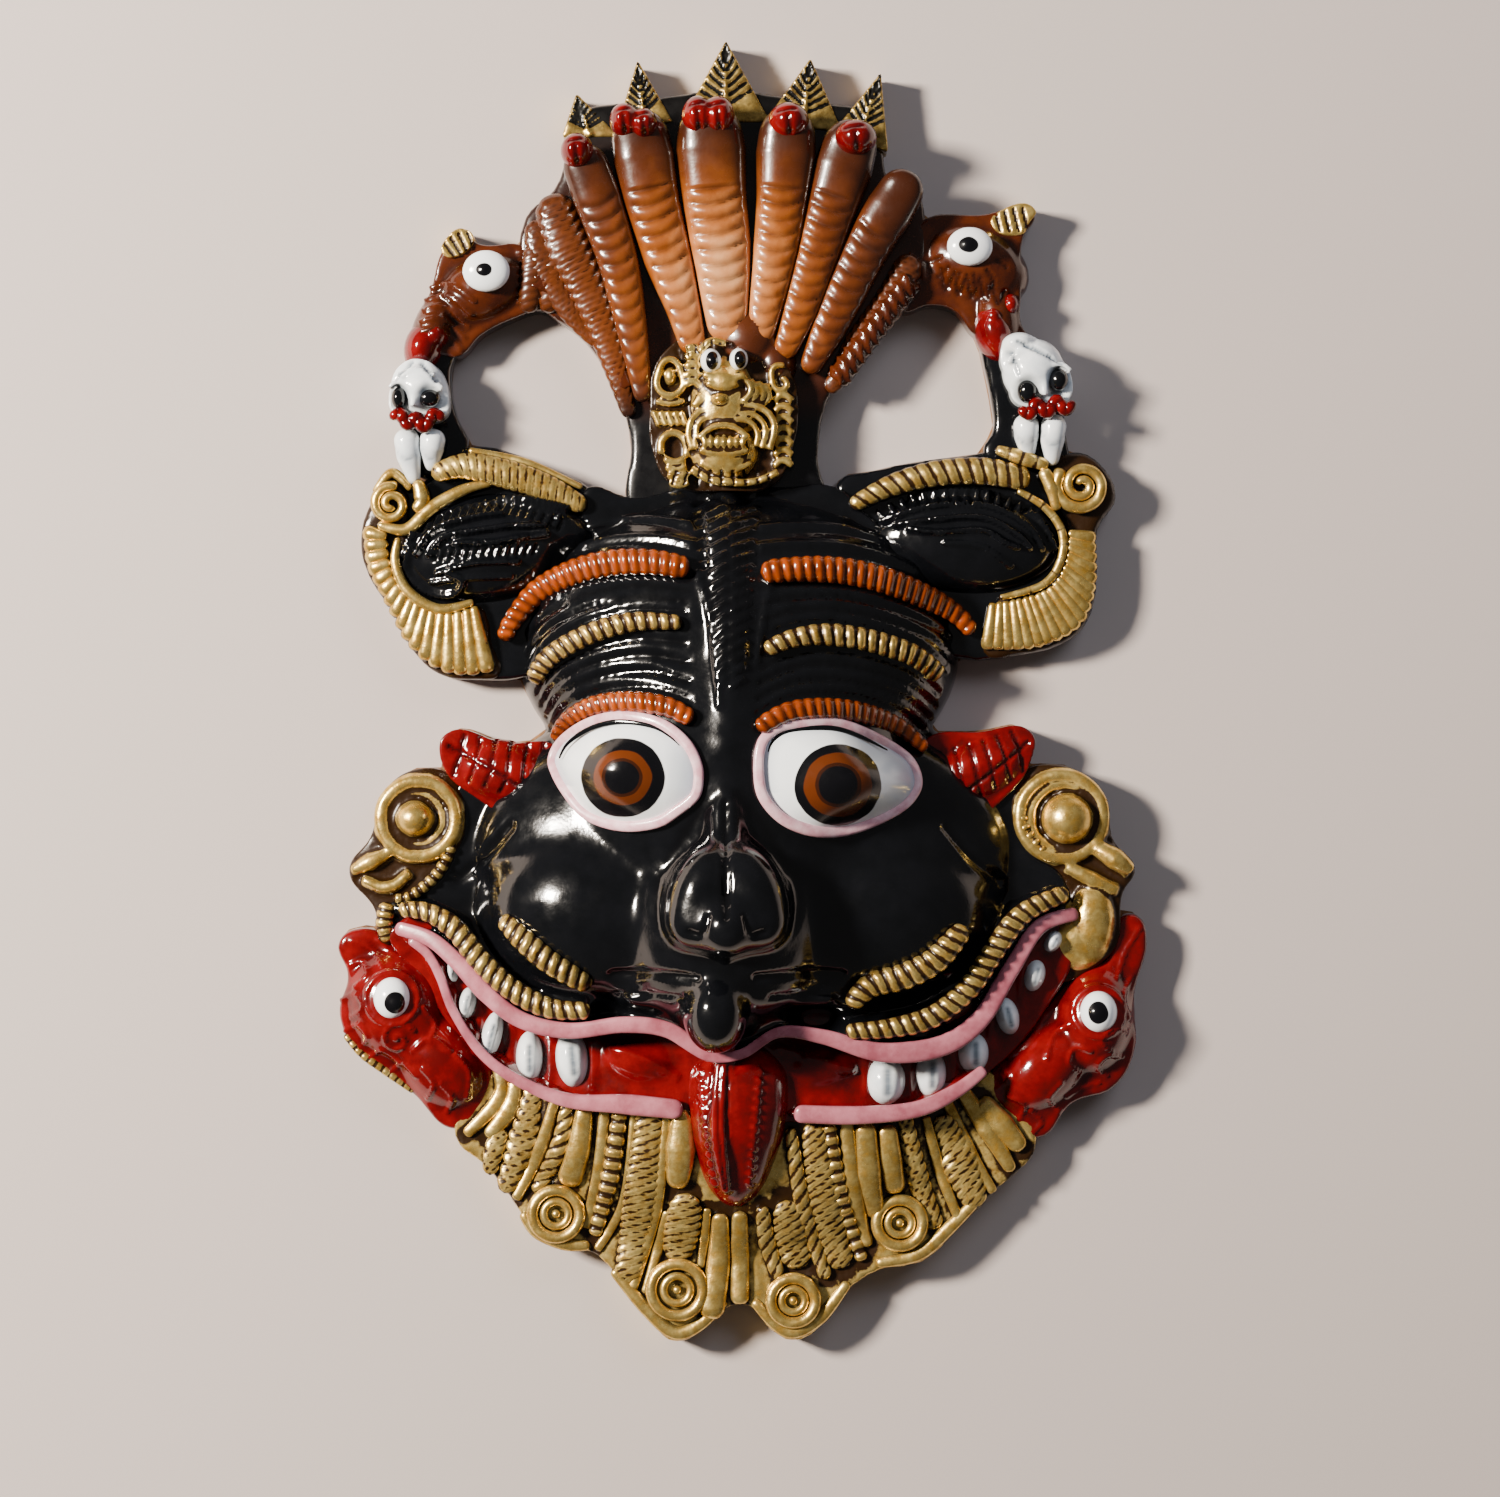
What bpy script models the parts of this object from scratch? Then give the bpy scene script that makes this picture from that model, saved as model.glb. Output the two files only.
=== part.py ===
"""Kirtimukha wall mask: a black lion face under a fan of cobras, carved in one block, hollow behind.

Metres, +Z up. The mask lies on its flat back: X runs across the face, Y towards the crown and Z out
of the face. The origin is the middle of the outer box's underside.
"""
import math

import bmesh
import bpy
from mathutils import Matrix, Vector

# Driving sizes, in metres
MASK_HEIGHT = 0.360       # from the beard's tip to the tip of the middle peak
FACE_RISE = 0.045         # the bare face between the eyes, above the back
BACKING = 0.011           # thickness of the flat ground that ears, hood and serpents are carved on
WALL = 0.006              # shell left between the face and the hollow behind it

# A free carving keeps its proportions, so places are counted in carving units: a 360th of the height
UNIT = MASK_HEIGHT / 360
GROUND = BACKING / UNIT
RISE = FACE_RISE / UNIT
SINK = 3                  # how far a form reaches below the back before the back is cut flat

# How the surface is taken: the grain that fuses the forms, and the facets left in the end
GRAIN = MASK_HEIGHT / 280
FACETS = 11200
HOLLOW_GRAIN = MASK_HEIGHT / 90
HOLLOW_FACETS = 420

# Domes of the bare face: middle, half width and half length, rise as a share of FACE_RISE
FACE_DOMES = [
    ((-1, 12), (62, 44), 0.86),
    ((-3, -22), (52, 62), 1.0),
    ((0, -46), (79, 49), 0.80),
    ((-38, -60), (38, 31), 0.84),
    ((34, -61), (40, 31), 0.84),
]
MUZZLE = ((-5, -64), (36, 36), 1.12)

# Flat grounds, as outlines with few points: (x, y)
HOOD = [
    (-30, 50), (-31, 70), (-34, 81), (-44, 98), (-56, 107), (-61, 116), (-60, 132), (-52, 140),
    (-49, 148), (-46, 160), (-29, 164), (-4, 167), (19, 164), (36, 160), (39, 150), (41, 142),
    (48, 140), (51, 130), (50, 116), (40, 103), (25, 84), (21, 66), (22, 50),
]
LEFT_SERPENT = [
    (-50, 104), (-56, 106), (-63, 104), (-72, 99.5), (-80, 93), (-81, 85), (-79.5, 77), (-76, 68.5),
    (-80, 61), (-90, 60), (-94, 74), (-93, 90), (-89, 101), (-86, 113), (-83, 123), (-78, 128),
    (-73, 124.5), (-62, 124.5), (-50, 120),
]
RIGHT_SERPENT = [
    (44, 106), (52, 107.5), (59, 106), (65, 99), (67.5, 90), (69.5, 80), (70, 73), (67, 67),
    (72, 60), (90, 60), (90, 72), (88, 86), (84, 95), (78, 101), (77.5, 112), (78, 126),
    (81, 133), (66, 132.5), (50, 131), (42, 118),
]
LEFT_EAR = [
    (-38, 48), (-44, 58), (-52, 61.5), (-62, 66), (-74, 68.5), (-82, 66), (-90, 58), (-96.5, 61),
    (-103, 53), (-106, 42), (-104, 33), (-97, 22), (-91, 11), (-84, 5), (-74, 3.5), (-60, 4.5),
    (-52, 10), (-48, 30),
]
RIGHT_EAR = [
    (30, 48), (26, 57.5), (38, 62), (54, 65), (66, 66.5), (75, 69), (84, 64), (93, 67), (101, 62),
    (104, 54), (99, 45.5), (98.5, 28), (95, 18), (88, 13), (78, 10.5), (60, 9.5), (50, 14), (46, 30),
]
MOUTH_FLOOR = [
    (-90, -66), (-85, -78), (-78, -92), (-68, -104), (-50, -113), (-20, -116), (20, -118), (50, -115),
    (70, -104), (84, -88), (92, -70), (88, -62), (60, -80), (0, -88), (-50, -80),
]
BEARD = [
    (-80, -122), (-71, -132), (-64, -141), (-58, -149), (-50, -154), (-41, -156), (-33, -165),
    (-26, -174), (-19, -180.4), (-12, -178), (-4, -171), (2, -170.5), (8, -177), (14, -180),
    (22, -176), (30, -165.5), (38, -160.5), (50, -158), (60, -149), (70, -139), (82, -124),
    (66, -104), (20, -112), (-20, -112), (-66, -104),
]
LEFT_HEAD = [
    (-112, -69), (-104, -65.5), (-94, -71), (-85, -75), (-82, -85), (-75, -96), (-69, -104),
    (-71, -114), (-79, -121.5), (-92, -111), (-106, -101), (-112, -89), (-109.5, -79),
]
RIGHT_HEAD = [
    (105, -62.5), (110, -62), (112.5, -68), (109, -84), (109, -100), (103, -110), (92, -114),
    (82, -124), (74, -118), (68, -110), (73, -100), (83, -89), (92, -79.5), (101, -74.5),
]
CHEEK_GROUND = [
    (-56, -14), (-78, -24), (-82, -45), (-94, -57), (-98, -66), (-80, -90), (-40, -100), (0, -104),
    (40, -104), (76, -92), (94, -70), (90, -52), (80, -42), (76, -22), (56, -14),
]
LEFT_LEAF = [
    (-82, -11.5), (-66, -14), (-50, -16), (-50, -32), (-61, -35), (-74, -29), (-83, -20),
]
RIGHT_LEAF = [
    (50, -14), (66, -11), (80, -11), (80, -19), (74, -28), (61, -36), (50, -30),
]
LEFT_BOSS = [
    (-88, -21), (-80, -24), (-76.5, -36), (-80, -47), (-90, -55), (-94, -66), (-99, -70), (-102, -60),
    (-109, -49.5), (-103, -40), (-99, -27),
]
RIGHT_BOSS = [
    (84, -20), (95, -23), (101, -32), (103, -41), (109, -49), (105.5, -56), (104, -70), (98, -76),
    (86, -79.5), (88, -66), (89, -52), (78, -43), (74.5, -33), (77, -23),
]

LEAN = 2.0                # how much the cobras come forward from one point of their necks to the next
PEAK_TOP = GROUND * 0.7   # the peaks are cut thinner than the hood

# Peaks of the crown: left foot, tip, right foot
PEAKS = [
    ((-50, 154), (-46, 166.3), (-34, 154)),
    ((-35, 156), (-29, 175.5), (-19, 158)),
    ((-17, 158), (-4.5, 180.9), (8, 158)),
    ((6, 158), (19, 176), (28, 155)),
    ((24, 154), (38.5, 172), (40.5, 150)),
]

# Cobra necks from the hood's foot up: middle line, half width, then the head and the open mouth
NECKS = [
    ([(-29, 84), (-31, 103), (-34, 122), (-39, 137)], 5.4, (-44, 145, 6.4), (-45.5, 151, 4.2)),
    ([(-17, 92), (-20, 108), (-23, 127), (-26, 141)], 6.8, (-28.5, 150, 8.0), (-29.5, 158.5, 5.0)),
    ([(-5, 100), (-6, 115), (-7.5, 130), (-8.5, 142)], 8.2, (-9, 151, 9.2), (-9.5, 160.5, 5.8)),
    ([(5, 102), (8, 117), (10, 130), (11, 142)], 6.6, (12, 151, 8.2), (13.2, 159.5, 5.3)),
    ([(13, 96), (18, 111), (22, 125), (26.5, 138)], 6.0, (30, 147, 7.8), (32, 154.5, 5.2)),
    ([(21, 91), (28, 105), (35, 119), (40, 130)], 5.6, (44, 136, 6.0), None),
    ([(-29, 80), (-35, 97), (-41, 111), (-48, 124)], 6.2, (-54, 132, 7.0), None),
]

# Ropes along the brow, cheeks and mouth: middle line and half width
BROW_ROPES = [
    ([(-14, 33), (-24, 35), (-36, 35), (-47, 32.5), (-57, 27.5), (-64, 19), (-66, 14)], 3.3),
    ([(5, 32), (16, 33), (28, 32.6), (40, 30), (52, 25.5), (60, 21), (64, 16)], 3.3),
    ([(-16, 18.3), (-28, 18.8), (-38, 16.7), (-47, 13), (-54, 8.4), (-58, 2.5)], 2.6),
    ([(6, 10.7), (13, 13.8), (22, 15.2), (33, 14), (44, 11), (50, 8), (55, 4)], 2.8),
    ([(-13, -8), (-20, -4.4), (-30, -3), (-40, -4), (-48, -8), (-52, -13.5)], 2.6),
    ([(4, -10.5), (12, -6), (22, -4.8), (33, -6), (43, -9.6), (51, -16)], 2.6),
]
CHEEK_ROPES = [
    ([(-66, -61.5), (-60, -67), (-53, -73), (-46, -77.5), (-41, -80.5)], 2.8),
    ([(29, -86), (35, -80), (44, -77.5), (52, -73.5), (57, -68.5), (61, -64)], 3.2),
    ([(-95, -60), (-87, -60.5), (-79, -65), (-71, -74.5), (-62, -82), (-52, -86.5), (-41, -87)], 2.7),
    ([(28, -92.5), (40, -91.8), (52, -88.8), (62, -81), (69, -71), (77, -61), (90, -55)], 2.7),
]
UPPER_LIP = [
    (-96, -65), (-86, -68), (-78, -74.5), (-70, -83), (-60, -90), (-47, -92.6), (-32, -90.8),
    (-20, -92.2), (-9, -99), (0, -98.6), (10, -92.8), (22, -94), (38, -98.4), (54, -97), (65, -90),
    (74, -76), (82, -64.5), (93, -61),
]
LOWER_LIP = [
    (-84, -76), (-80, -87), (-72, -99), (-62, -106.5), (-48, -112), (-32, -113), (-16, -114.5),
    (14, -115.5), (32, -116), (48, -114.5), (60, -109), (71, -101), (81, -91),
]
LIP_HALF = 2.2
MOUTH_DEPTH = GROUND + 3  # height of the mouth's floor

# Eyes: middle, half width and half height
EYES = [((-31.8, -21.7), (21.2, 15.4)), ((26.4, -23.4), (22.6, 15.3))]
# Teeth: middle, half width, half height and turn in degrees
TEETH = [
    ((-80, -77), (1.4, 3.4), 8), ((-76, -86), (2.4, 4.5), -12), ((-69.3, -95), (2.8, 6.8), -14),
    ((-58.8, -101), (3.6, 7.2), 0), ((-46.8, -101.3), (4.4, 7.8), 6), ((39.5, -107), (5.2, 6.6), 0),
    ((52, -105.4), (4.2, 6.6), 0), ((64, -99.8), (4.1, 5.6), 0), ((73.4, -89.6), (3.1, 5.2), 14),
    ((80.9, -78.4), (2.8, 4.4), -16), ((86, -69), (2.2, 3.2), -30),
]

# Beard: the locks run from the lip to the beard's edge, as pairs of ends with their half widths
LOCKS = [
    ((-70, -106), (-79, -121), 2.6), ((-65, -107), (-73, -128), 3.0), ((-60, -109), (-67, -136), 2.6),
    ((-55, -111), (-62, -143), 3.0), ((-45, -114), (-51, -136), 3.4), ((-40, -116), (-45, -152), 2.4),
    ((-33, -117), (-42, -153), 3.2), ((-24, -118), (-32, -164), 5.0), ((-16, -124), (-26, -168), 2.6),
    ((-12, -138), (-18, -154), 3.4), ((-6, -143), (-9, -173), 2.8),
    ((64, -110), (78, -127), 3.2), ((58, -114), (72, -136), 2.6), ((51, -118), (63, -146), 3.4),
    ((44, -119), (52, -150), 2.8), ((34, -121), (40, -138), 4.0), ((25, -120), (35, -157), 2.8),
    ((18, -121), (29, -160), 4.6), ((11, -128), (24, -166), 2.8), ((8, -141), (14, -160), 4.6),
    ((-0.5, -144), (-0.5, -170), 2.6),
]
BEARD_CIRCLES = [((-51.5, -144.5), 6.6), ((-18, -165.5), 7.2), ((43.7, -147), 6.4), ((14.2, -168.5), 6.2)]

# Ear fans: where the flutes spring from, the inner and outer radius, first and last angle, how many
LEFT_FAN = ((-76, 34), (13, 29), (183, 297), 11)
RIGHT_FAN = ((72, 38), (15, 27), (-112, 10), 11)

MASK_COLOUR = (0.012, 0.013, 0.016, 1.0)
MASK_ROUGHNESS = 0.25


def at(x, y, z=0.0):
    """A place in carving units, in metres."""
    return Vector((x, y, z)) * UNIT


def face_height(x, y):
    """How high the bare face stands at a place, in carving units."""
    best = GROUND
    for (mx, my), (rx, ry), share in FACE_DOMES + [MUZZLE]:
        inside = 1 - ((x - mx) / rx) ** 2 - ((y - my) / ry) ** 2
        if inside > 0:
            best = max(best, RISE * share * math.sqrt(inside))
    return best


def lip_crest(x):
    """Height of the bank that the upper lip and its rope lie on: it bows forward at the middle."""
    return GROUND + 3 + RISE * 0.38 * (1 - (x / 98) ** 2)


def lower_crest(x):
    """Height of the bank under the lower lip."""
    return GROUND + 5 + RISE * 0.2 * (1 - (x / 90) ** 2)


def between(start, end, share):
    """The place that lies a share of the way from start to end."""
    return tuple(a + (b - a) * share for a, b in zip(start, end))


def ball(clay, centre, radii, turn=0.0, sides=24):
    """Adds an ellipsoid, turned in plan by degrees."""
    place = Matrix.Translation(at(*centre)) @ Matrix.Rotation(math.radians(turn), 4, "Z")
    size = Matrix.Diagonal((*(r * UNIT for r in radii), 1.0))
    bmesh.ops.create_uvsphere(
        clay, u_segments=sides, v_segments=sides // 2, radius=1.0, matrix=place @ size)


def cone(clay, foot, tip, foot_radius, tip_radius):
    """Adds a cone whose axis runs from foot to tip."""
    foot, tip = at(*foot), at(*tip)
    axis = tip - foot
    turn = axis.to_track_quat("Z", "Y").to_matrix().to_4x4()
    place = Matrix.Translation((foot + tip) / 2) @ turn
    bmesh.ops.create_cone(
        clay, cap_ends=True, segments=16, radius1=foot_radius * UNIT, radius2=tip_radius * UNIT,
        depth=axis.length, matrix=place)


def add_curve(clay, curve, lift=0.0):
    """Adds a curve's own surface to the clay, with its caps welded on."""
    former = bpy.data.objects.new("former", curve)
    bpy.context.scene.collection.objects.link(former)
    mesh = bpy.data.meshes.new_from_object(former.evaluated_get(bpy.context.evaluated_depsgraph_get()))
    mesh.transform(Matrix.Translation((0, 0, lift)))
    before = set(clay.verts)
    clay.from_mesh(mesh)
    fresh = [v for v in clay.verts if v not in before]
    bmesh.ops.remove_doubles(clay, verts=fresh, dist=0.00001)
    bpy.data.objects.remove(former)
    bpy.data.curves.remove(curve)
    bpy.data.meshes.remove(mesh)


def fill_spline(spline, points, handles="AUTO"):
    """Puts points on a spline that runs smoothly, or straight, through them."""
    spline.bezier_points.add(len(points) - 1)
    for knot, point in zip(spline.bezier_points, points):
        knot.co = at(*point)
        knot.handle_left_type = handles
        knot.handle_right_type = handles


def slab(clay, outline, top, smooth=True):
    """Adds a flat ground with a smooth or straight outline, from below the back up to a height."""
    curve = bpy.data.curves.new("slab", "CURVE")
    curve.dimensions = "2D"
    curve.fill_mode = "BOTH"
    curve.resolution_u = 5
    curve.extrude = (top + SINK) / 2 * UNIT
    spline = curve.splines.new("BEZIER")
    fill_spline(spline, outline, "AUTO" if smooth else "VECTOR")
    spline.use_cyclic_u = True
    add_curve(clay, curve, (top - SINK) / 2 * UNIT)


def rope(clay, points, half_width, closed=False, ends=1.0):
    """Adds a round strand through points; its ends are a share as thick as its middle."""
    curve = bpy.data.curves.new("rope", "CURVE")
    curve.dimensions = "3D"
    curve.resolution_u = 6
    curve.bevel_resolution = 2
    curve.bevel_depth = half_width * UNIT
    curve.use_fill_caps = not closed
    spline = curve.splines.new("BEZIER")
    fill_spline(spline, points)
    spline.use_cyclic_u = closed
    if not closed:
        spline.bezier_points[0].radius = ends
        spline.bezier_points[-1].radius = ends
    add_curve(clay, curve)


def bank(clay, line, half_width, crest):
    """Adds a rounded bank under a plan line; crest gives its height at each X."""
    for start, end in zip(line, line[1:]):
        for step in range(3):
            x, y = between(start, end, step / 3)
            ball(clay, (x, y, 0), (half_width + 2, half_width, crest(x)), sides=16)


def on_face(points, lift):
    """Lays a plan line on the face, lifted by so much."""
    return [(x, y, face_height(x, y) + lift) for x, y in points]


def carve_face(clay):
    """The bare black face: domes, muzzle, nose, snout and the ridge between the brows."""
    for (mx, my), (rx, ry), share in FACE_DOMES + [MUZZLE]:
        ball(clay, (mx, my, 0), (rx, ry, RISE * share), sides=40)
    nose_top = face_height(-4, -60)
    rope(clay, [(-4, -26, nose_top - 9), (-4, -44, nose_top - 4), (-4, -60, nose_top + 3)], 6)
    ball(clay, (-4, -65, nose_top + 4), (8.5, 8, 10))
    for side in (-1, 1):
        ball(clay, (-4 + side * 8.5, -62, nose_top), (7.5, 7.5, 8))
        ball(clay, (-5 + side * 18, -84.5, face_height(-5, -84.5) - 3), (14, 6.5, 9), turn=side * 8)
    ball(clay, (-5.5, -88, face_height(-5, -88) + 2), (7.5, 11, 12))
    rope(clay, on_face([(-5, 54), (-4, 40), (-3, 20), (-3, 0), (-4, -20)], -3), 5.5)


def carve_ropes(clay):
    """Notched ropes of the brow and cheeks, and both lips on their banks."""
    for line, half in BROW_ROPES:
        rope(clay, on_face(line, half * 0.8), half, ends=0.8)
    for line, half in CHEEK_ROPES:
        bank(clay, line, half + 2, lip_crest)
        rope(clay, [(x, y, max(face_height(x, y), lip_crest(x)) + half * 0.6) for x, y in line], half)
    bank(clay, UPPER_LIP, LIP_HALF + 1, lip_crest)
    rope(clay, [(x, y, lip_crest(x) + 0.5) for x, y in UPPER_LIP], LIP_HALF)
    bank(clay, LOWER_LIP, LIP_HALF + 1, lower_crest)
    rope(clay, [(x, y, lower_crest(x)) for x, y in LOWER_LIP], LIP_HALF)


def carve_eyes(clay):
    """Bulging eyeballs, each in a raised rim."""
    for (mx, my), (rx, ry) in EYES:
        seat = face_height(mx, my)
        ball(clay, (mx, my, seat - 5), (rx, ry, 15))
        ring = []
        for step in range(12):
            angle = step * math.tau / 12
            x = mx + (rx - 1.5) * math.cos(angle)
            y = my + (ry - 1.5) * math.sin(angle)
            ring.append((x, y, face_height(x, y) + 0.8))
        rope(clay, ring, 2.0, closed=True)


def carve_mouth(clay):
    """Mouth floor, teeth that stand in it and the hanging tongue."""
    slab(clay, MOUTH_FLOOR, MOUTH_DEPTH)
    for (mx, my), (rx, ry), turn in TEETH:
        ball(clay, (mx, my, MOUTH_DEPTH), (rx, ry, 8), turn=turn, sides=12)
    ball(clay, (-1, -110, GROUND + 8), (14.5, 14, 13))
    ball(clay, (-1.5, -124, GROUND + 8), (12, 18.5, 13))
    rope(clay, [(-3, -104, GROUND + 20), (-3, -120, GROUND + 20), (-2.5, -134, GROUND + 16)], 3)


def carve_beard(clay):
    """Beard: a ground that thins towards its edge, fanned locks and four coiled curls."""
    slab(clay, BEARD, GROUND)
    ball(clay, (-1, -112, 0), (72, 50, GROUND + 11), sides=32)
    for start, end, half in LOCKS:
        line = []
        for share in (0.0, 0.35, 0.7, 1.0):
            x, y = between(start, end, share)
            swell = 1 - ((x + 1) / 72) ** 2 - ((y + 112) / 50) ** 2
            height = max(GROUND, (GROUND + 11) * math.sqrt(max(swell, 0)))
            line.append((x, y, height + 0.4))
        rope(clay, line, half, ends=0.8)
    for (mx, my), radius in BEARD_CIRCLES:
        ring(clay, (mx, my, GROUND + 1.5), radius, 1.9)
        ball(clay, (mx, my, GROUND), (radius * 0.45, radius * 0.45, 4.5), sides=12)


def ring(clay, centre, radius, half):
    """Adds a round rope laid in a circle."""
    x, y, z = centre
    points = []
    for step in range(6):
        angle = step * math.tau / 6
        points.append((x + radius * math.cos(angle), y + radius * math.sin(angle), z))
    rope(clay, points, half, closed=True)


def carve_ears(clay):
    """Ears: fluted gold fan, notched top rope and the ridged black shell inside."""
    slab(clay, LEFT_EAR, GROUND)
    slab(clay, RIGHT_EAR, GROUND)
    top = GROUND + 3
    rope(clay, [(-44, 54, top), (-55, 58.5, top), (-66, 62, top), (-77, 63.5, top), (-86, 59, top)], 4.2)
    rope(clay, [(30, 54, top), (42, 58.5, top), (56, 61, top), (70, 61.5, top), (82, 58, top)], 4.2)
    ball(clay, (-72, 40, GROUND - 4), (23, 14.5, 12), turn=8, sides=28)
    ball(clay, (62, 42, GROUND - 4), (26, 14, 12), turn=-6, sides=28)
    for (mx, my), (near, far), (first, last), count in (LEFT_FAN, RIGHT_FAN):
        for step in range(count):
            angle = math.radians(first + (last - first) * step / (count - 1))
            ux, uy = math.cos(angle), math.sin(angle)
            inner = (mx + near * ux, my + near * uy, GROUND + 2)
            outer = (mx + far * ux, my + far * uy, GROUND - 1)
            rope(clay, [inner, between(inner, outer, 0.5), outer], 2.4, ends=0.75)
    ring(clay, (-97, 52, GROUND + 1), 4.5, 2.2)
    ball(clay, (95, 57, GROUND), (8.5, 8.5, 6), sides=16)


def carve_hood(clay):
    """Fan of cobras: necks that lean forward towards their heads, before five gold peaks."""
    slab(clay, HOOD, GROUND + 1)
    for peak in PEAKS:
        slab(clay, peak, PEAK_TOP, smooth=False)
        left, tip, right = peak
        foot = between(left, right, 0.5)
        rope(clay, [(*foot, PEAK_TOP), (*between(foot, tip, 0.85), PEAK_TOP - 1.5)], 1.8, ends=0.7)
    for line, half, head, mouth in NECKS:
        points = []
        for step, (x, y) in enumerate(line):
            points.append((x, y, GROUND + 7 + LEAN * step - half))
        hx, hy, hr = head
        points.append((hx, hy, GROUND + 7 + LEAN * len(line) - half))
        rope(clay, points, half)
        along = math.degrees(math.atan2(hy - line[-1][1], hx - line[-1][0]))
        ball(clay, (hx, hy, GROUND + 8), (9.5, hr, 10), turn=along, sides=16)
        if mouth:
            mx, my, mr = mouth
            ball(clay, (mx, my, GROUND + 8), (mr, mr, mr + 2), sides=16)
    rope(clay, [(26, 86, GROUND + 2), (36, 100, GROUND + 2), (46, 114, GROUND + 2)], 3)


def carve_lion(clay):
    """Small gold lion face at the hood's foot, with curls down both sides."""
    slab(clay, [(-24, 56), (-26, 76), (-24, 92), (-12, 99), (2, 99), (13, 90), (15, 72), (12, 58)], GROUND + 6)
    ball(clay, (0, 98, GROUND + 1), (11, 11, 13))
    for x, y in ((-9, 92.5), (-1.3, 92.8)):
        ball(clay, (x, y, GROUND + 9), (3.6, 4, 4), sides=12)
    ball(clay, (-5, 83, GROUND + 6), (7, 5.5, 9))
    ball(clay, (-5, 70, GROUND + 4), (11, 9, 9))
    ring(clay, (-5, 68, GROUND + 9), 8, 2)
    for x in (-20, 9):
        rope(clay, [(x, 90, GROUND + 6), (x - 1, 76, GROUND + 7), (x + 1, 61, GROUND + 5)], 4)


def carve_serpents(clay):
    """Side serpents with round eyes, and the skulls and fangs that hang from them."""
    slab(clay, LEFT_SERPENT, GROUND * 0.9)
    slab(clay, RIGHT_SERPENT, GROUND * 0.9)
    low = GROUND * 0.5
    ball(clay, (-72, 112, low), (15, 10, 11), turn=25)
    ball(clay, (-86, 101, low), (6, 12, 10), turn=-20)
    ball(clay, (65, 119, low), (16, 11, 11), turn=-25)
    ball(clay, (71, 104, low), (6.5, 11, 10), turn=15)
    ball(clay, (-70.5, 116, GROUND + 4), (6.7, 5.9, 5))
    ball(clay, (62.8, 122.8, GROUND + 4), (6.5, 5.6, 5))
    rope(clay, [(-58, 114, GROUND), (-46, 110, GROUND), (-37, 97, GROUND), (-31, 83, GROUND)], 4)
    ball(clay, (-89, 82.5, GROUND + 2), (8.2, 9, 9))
    ball(clay, (-89.5, 73.5, GROUND + 2), (7.5, 3.5, 8))
    ball(clay, (81, 88.5, GROUND + 2), (9.4, 10.5, 9), turn=-25)
    ball(clay, (85, 76.5, GROUND + 2), (7, 3.5, 8))
    for x, y, tip_x, tip_y in ((-92.5, 71, -90.5, 57), (-84.5, 71, -85, 61), (78.5, 76, 79.5, 64), (86.5, 76, 86, 62)):
        cone(clay, (x, y, GROUND + 3), (tip_x, tip_y, GROUND), 4, 1.6)


def carve_cheeks(clay):
    """Leaf ears and gold bosses beside the cheeks."""
    slab(clay, CHEEK_GROUND, GROUND + 1)
    for outline in (LEFT_LEAF, RIGHT_LEAF):
        slab(clay, outline, GROUND + 3)
    for outline in (LEFT_BOSS, RIGHT_BOSS):
        slab(clay, outline, GROUND + 1)
    ring(clay, (-90, -35, GROUND + 2), 9.5, 3)
    ball(clay, (-90.5, -35, GROUND + 2), (6.5, 6, 7))
    rope(clay, [(-96, -58, GROUND + 1), (-97, -64, GROUND + 1), (-97, -68, GROUND + 1)], 3.5)
    ring(clay, (88.5, -34.5, GROUND + 2), 10.5, 3)
    ball(clay, (90, -35, GROUND + 2), (8.5, 8.5, 9))
    cone(clay, (101, -44, GROUND + 1), (107, -49, GROUND + 2), 4.5, 2.2)
    ball(clay, (97, -62, GROUND), (7, 12, 6))


def carve_jaw_heads(clay):
    """Red heads at the corners of the jaw."""
    slab(clay, LEFT_HEAD, GROUND)
    slab(clay, RIGHT_HEAD, GROUND)
    low = GROUND * 0.5
    ball(clay, (-95, -88, low), (15, 17, 14), turn=20)
    ball(clay, (-79, -104, low), (9, 13, 15), turn=35)
    ball(clay, (-96.5, -84.5, GROUND + 5), (5.2, 6.3, 4.5), sides=16)
    ring(clay, (-95, -95, GROUND + 4), 4.5, 1.6)
    ball(clay, (97, -92, low), (11.5, 17, 14), turn=0)
    ball(clay, (80, -106, low), (9, 14, 15), turn=-35)
    ball(clay, (98.3, -88.3, GROUND + 5), (5.3, 5.6, 4.5), sides=16)
    ring(clay, (100, -98, GROUND + 4), 4.5, 1.6)


def fuse(name, clay, grain, facets):
    """Fuses overlapping forms into one skin and thins it to so many facets."""
    mesh = bpy.data.meshes.new(name)
    clay.to_mesh(mesh)
    clay.free()
    rough = bpy.data.objects.new(name, mesh)
    bpy.context.scene.collection.objects.link(rough)
    skin = rough.modifiers.new("skin", "REMESH")
    skin.mode = "VOXEL"
    skin.voxel_size = grain
    bpy.context.view_layer.update()
    count = len(rough.evaluated_get(bpy.context.evaluated_depsgraph_get()).data.polygons)
    thin = rough.modifiers.new("thin", "DECIMATE")
    thin.ratio = min(1.0, facets / (2 * count))
    bpy.context.view_layer.update()
    fused = bpy.data.meshes.new_from_object(rough.evaluated_get(bpy.context.evaluated_depsgraph_get()))
    bpy.data.objects.remove(rough)
    bpy.data.meshes.remove(mesh)
    print(f"{name}: {count} fused faces thinned to {len(fused.polygons)}")
    return bpy.data.objects.new(name, fused)


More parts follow.
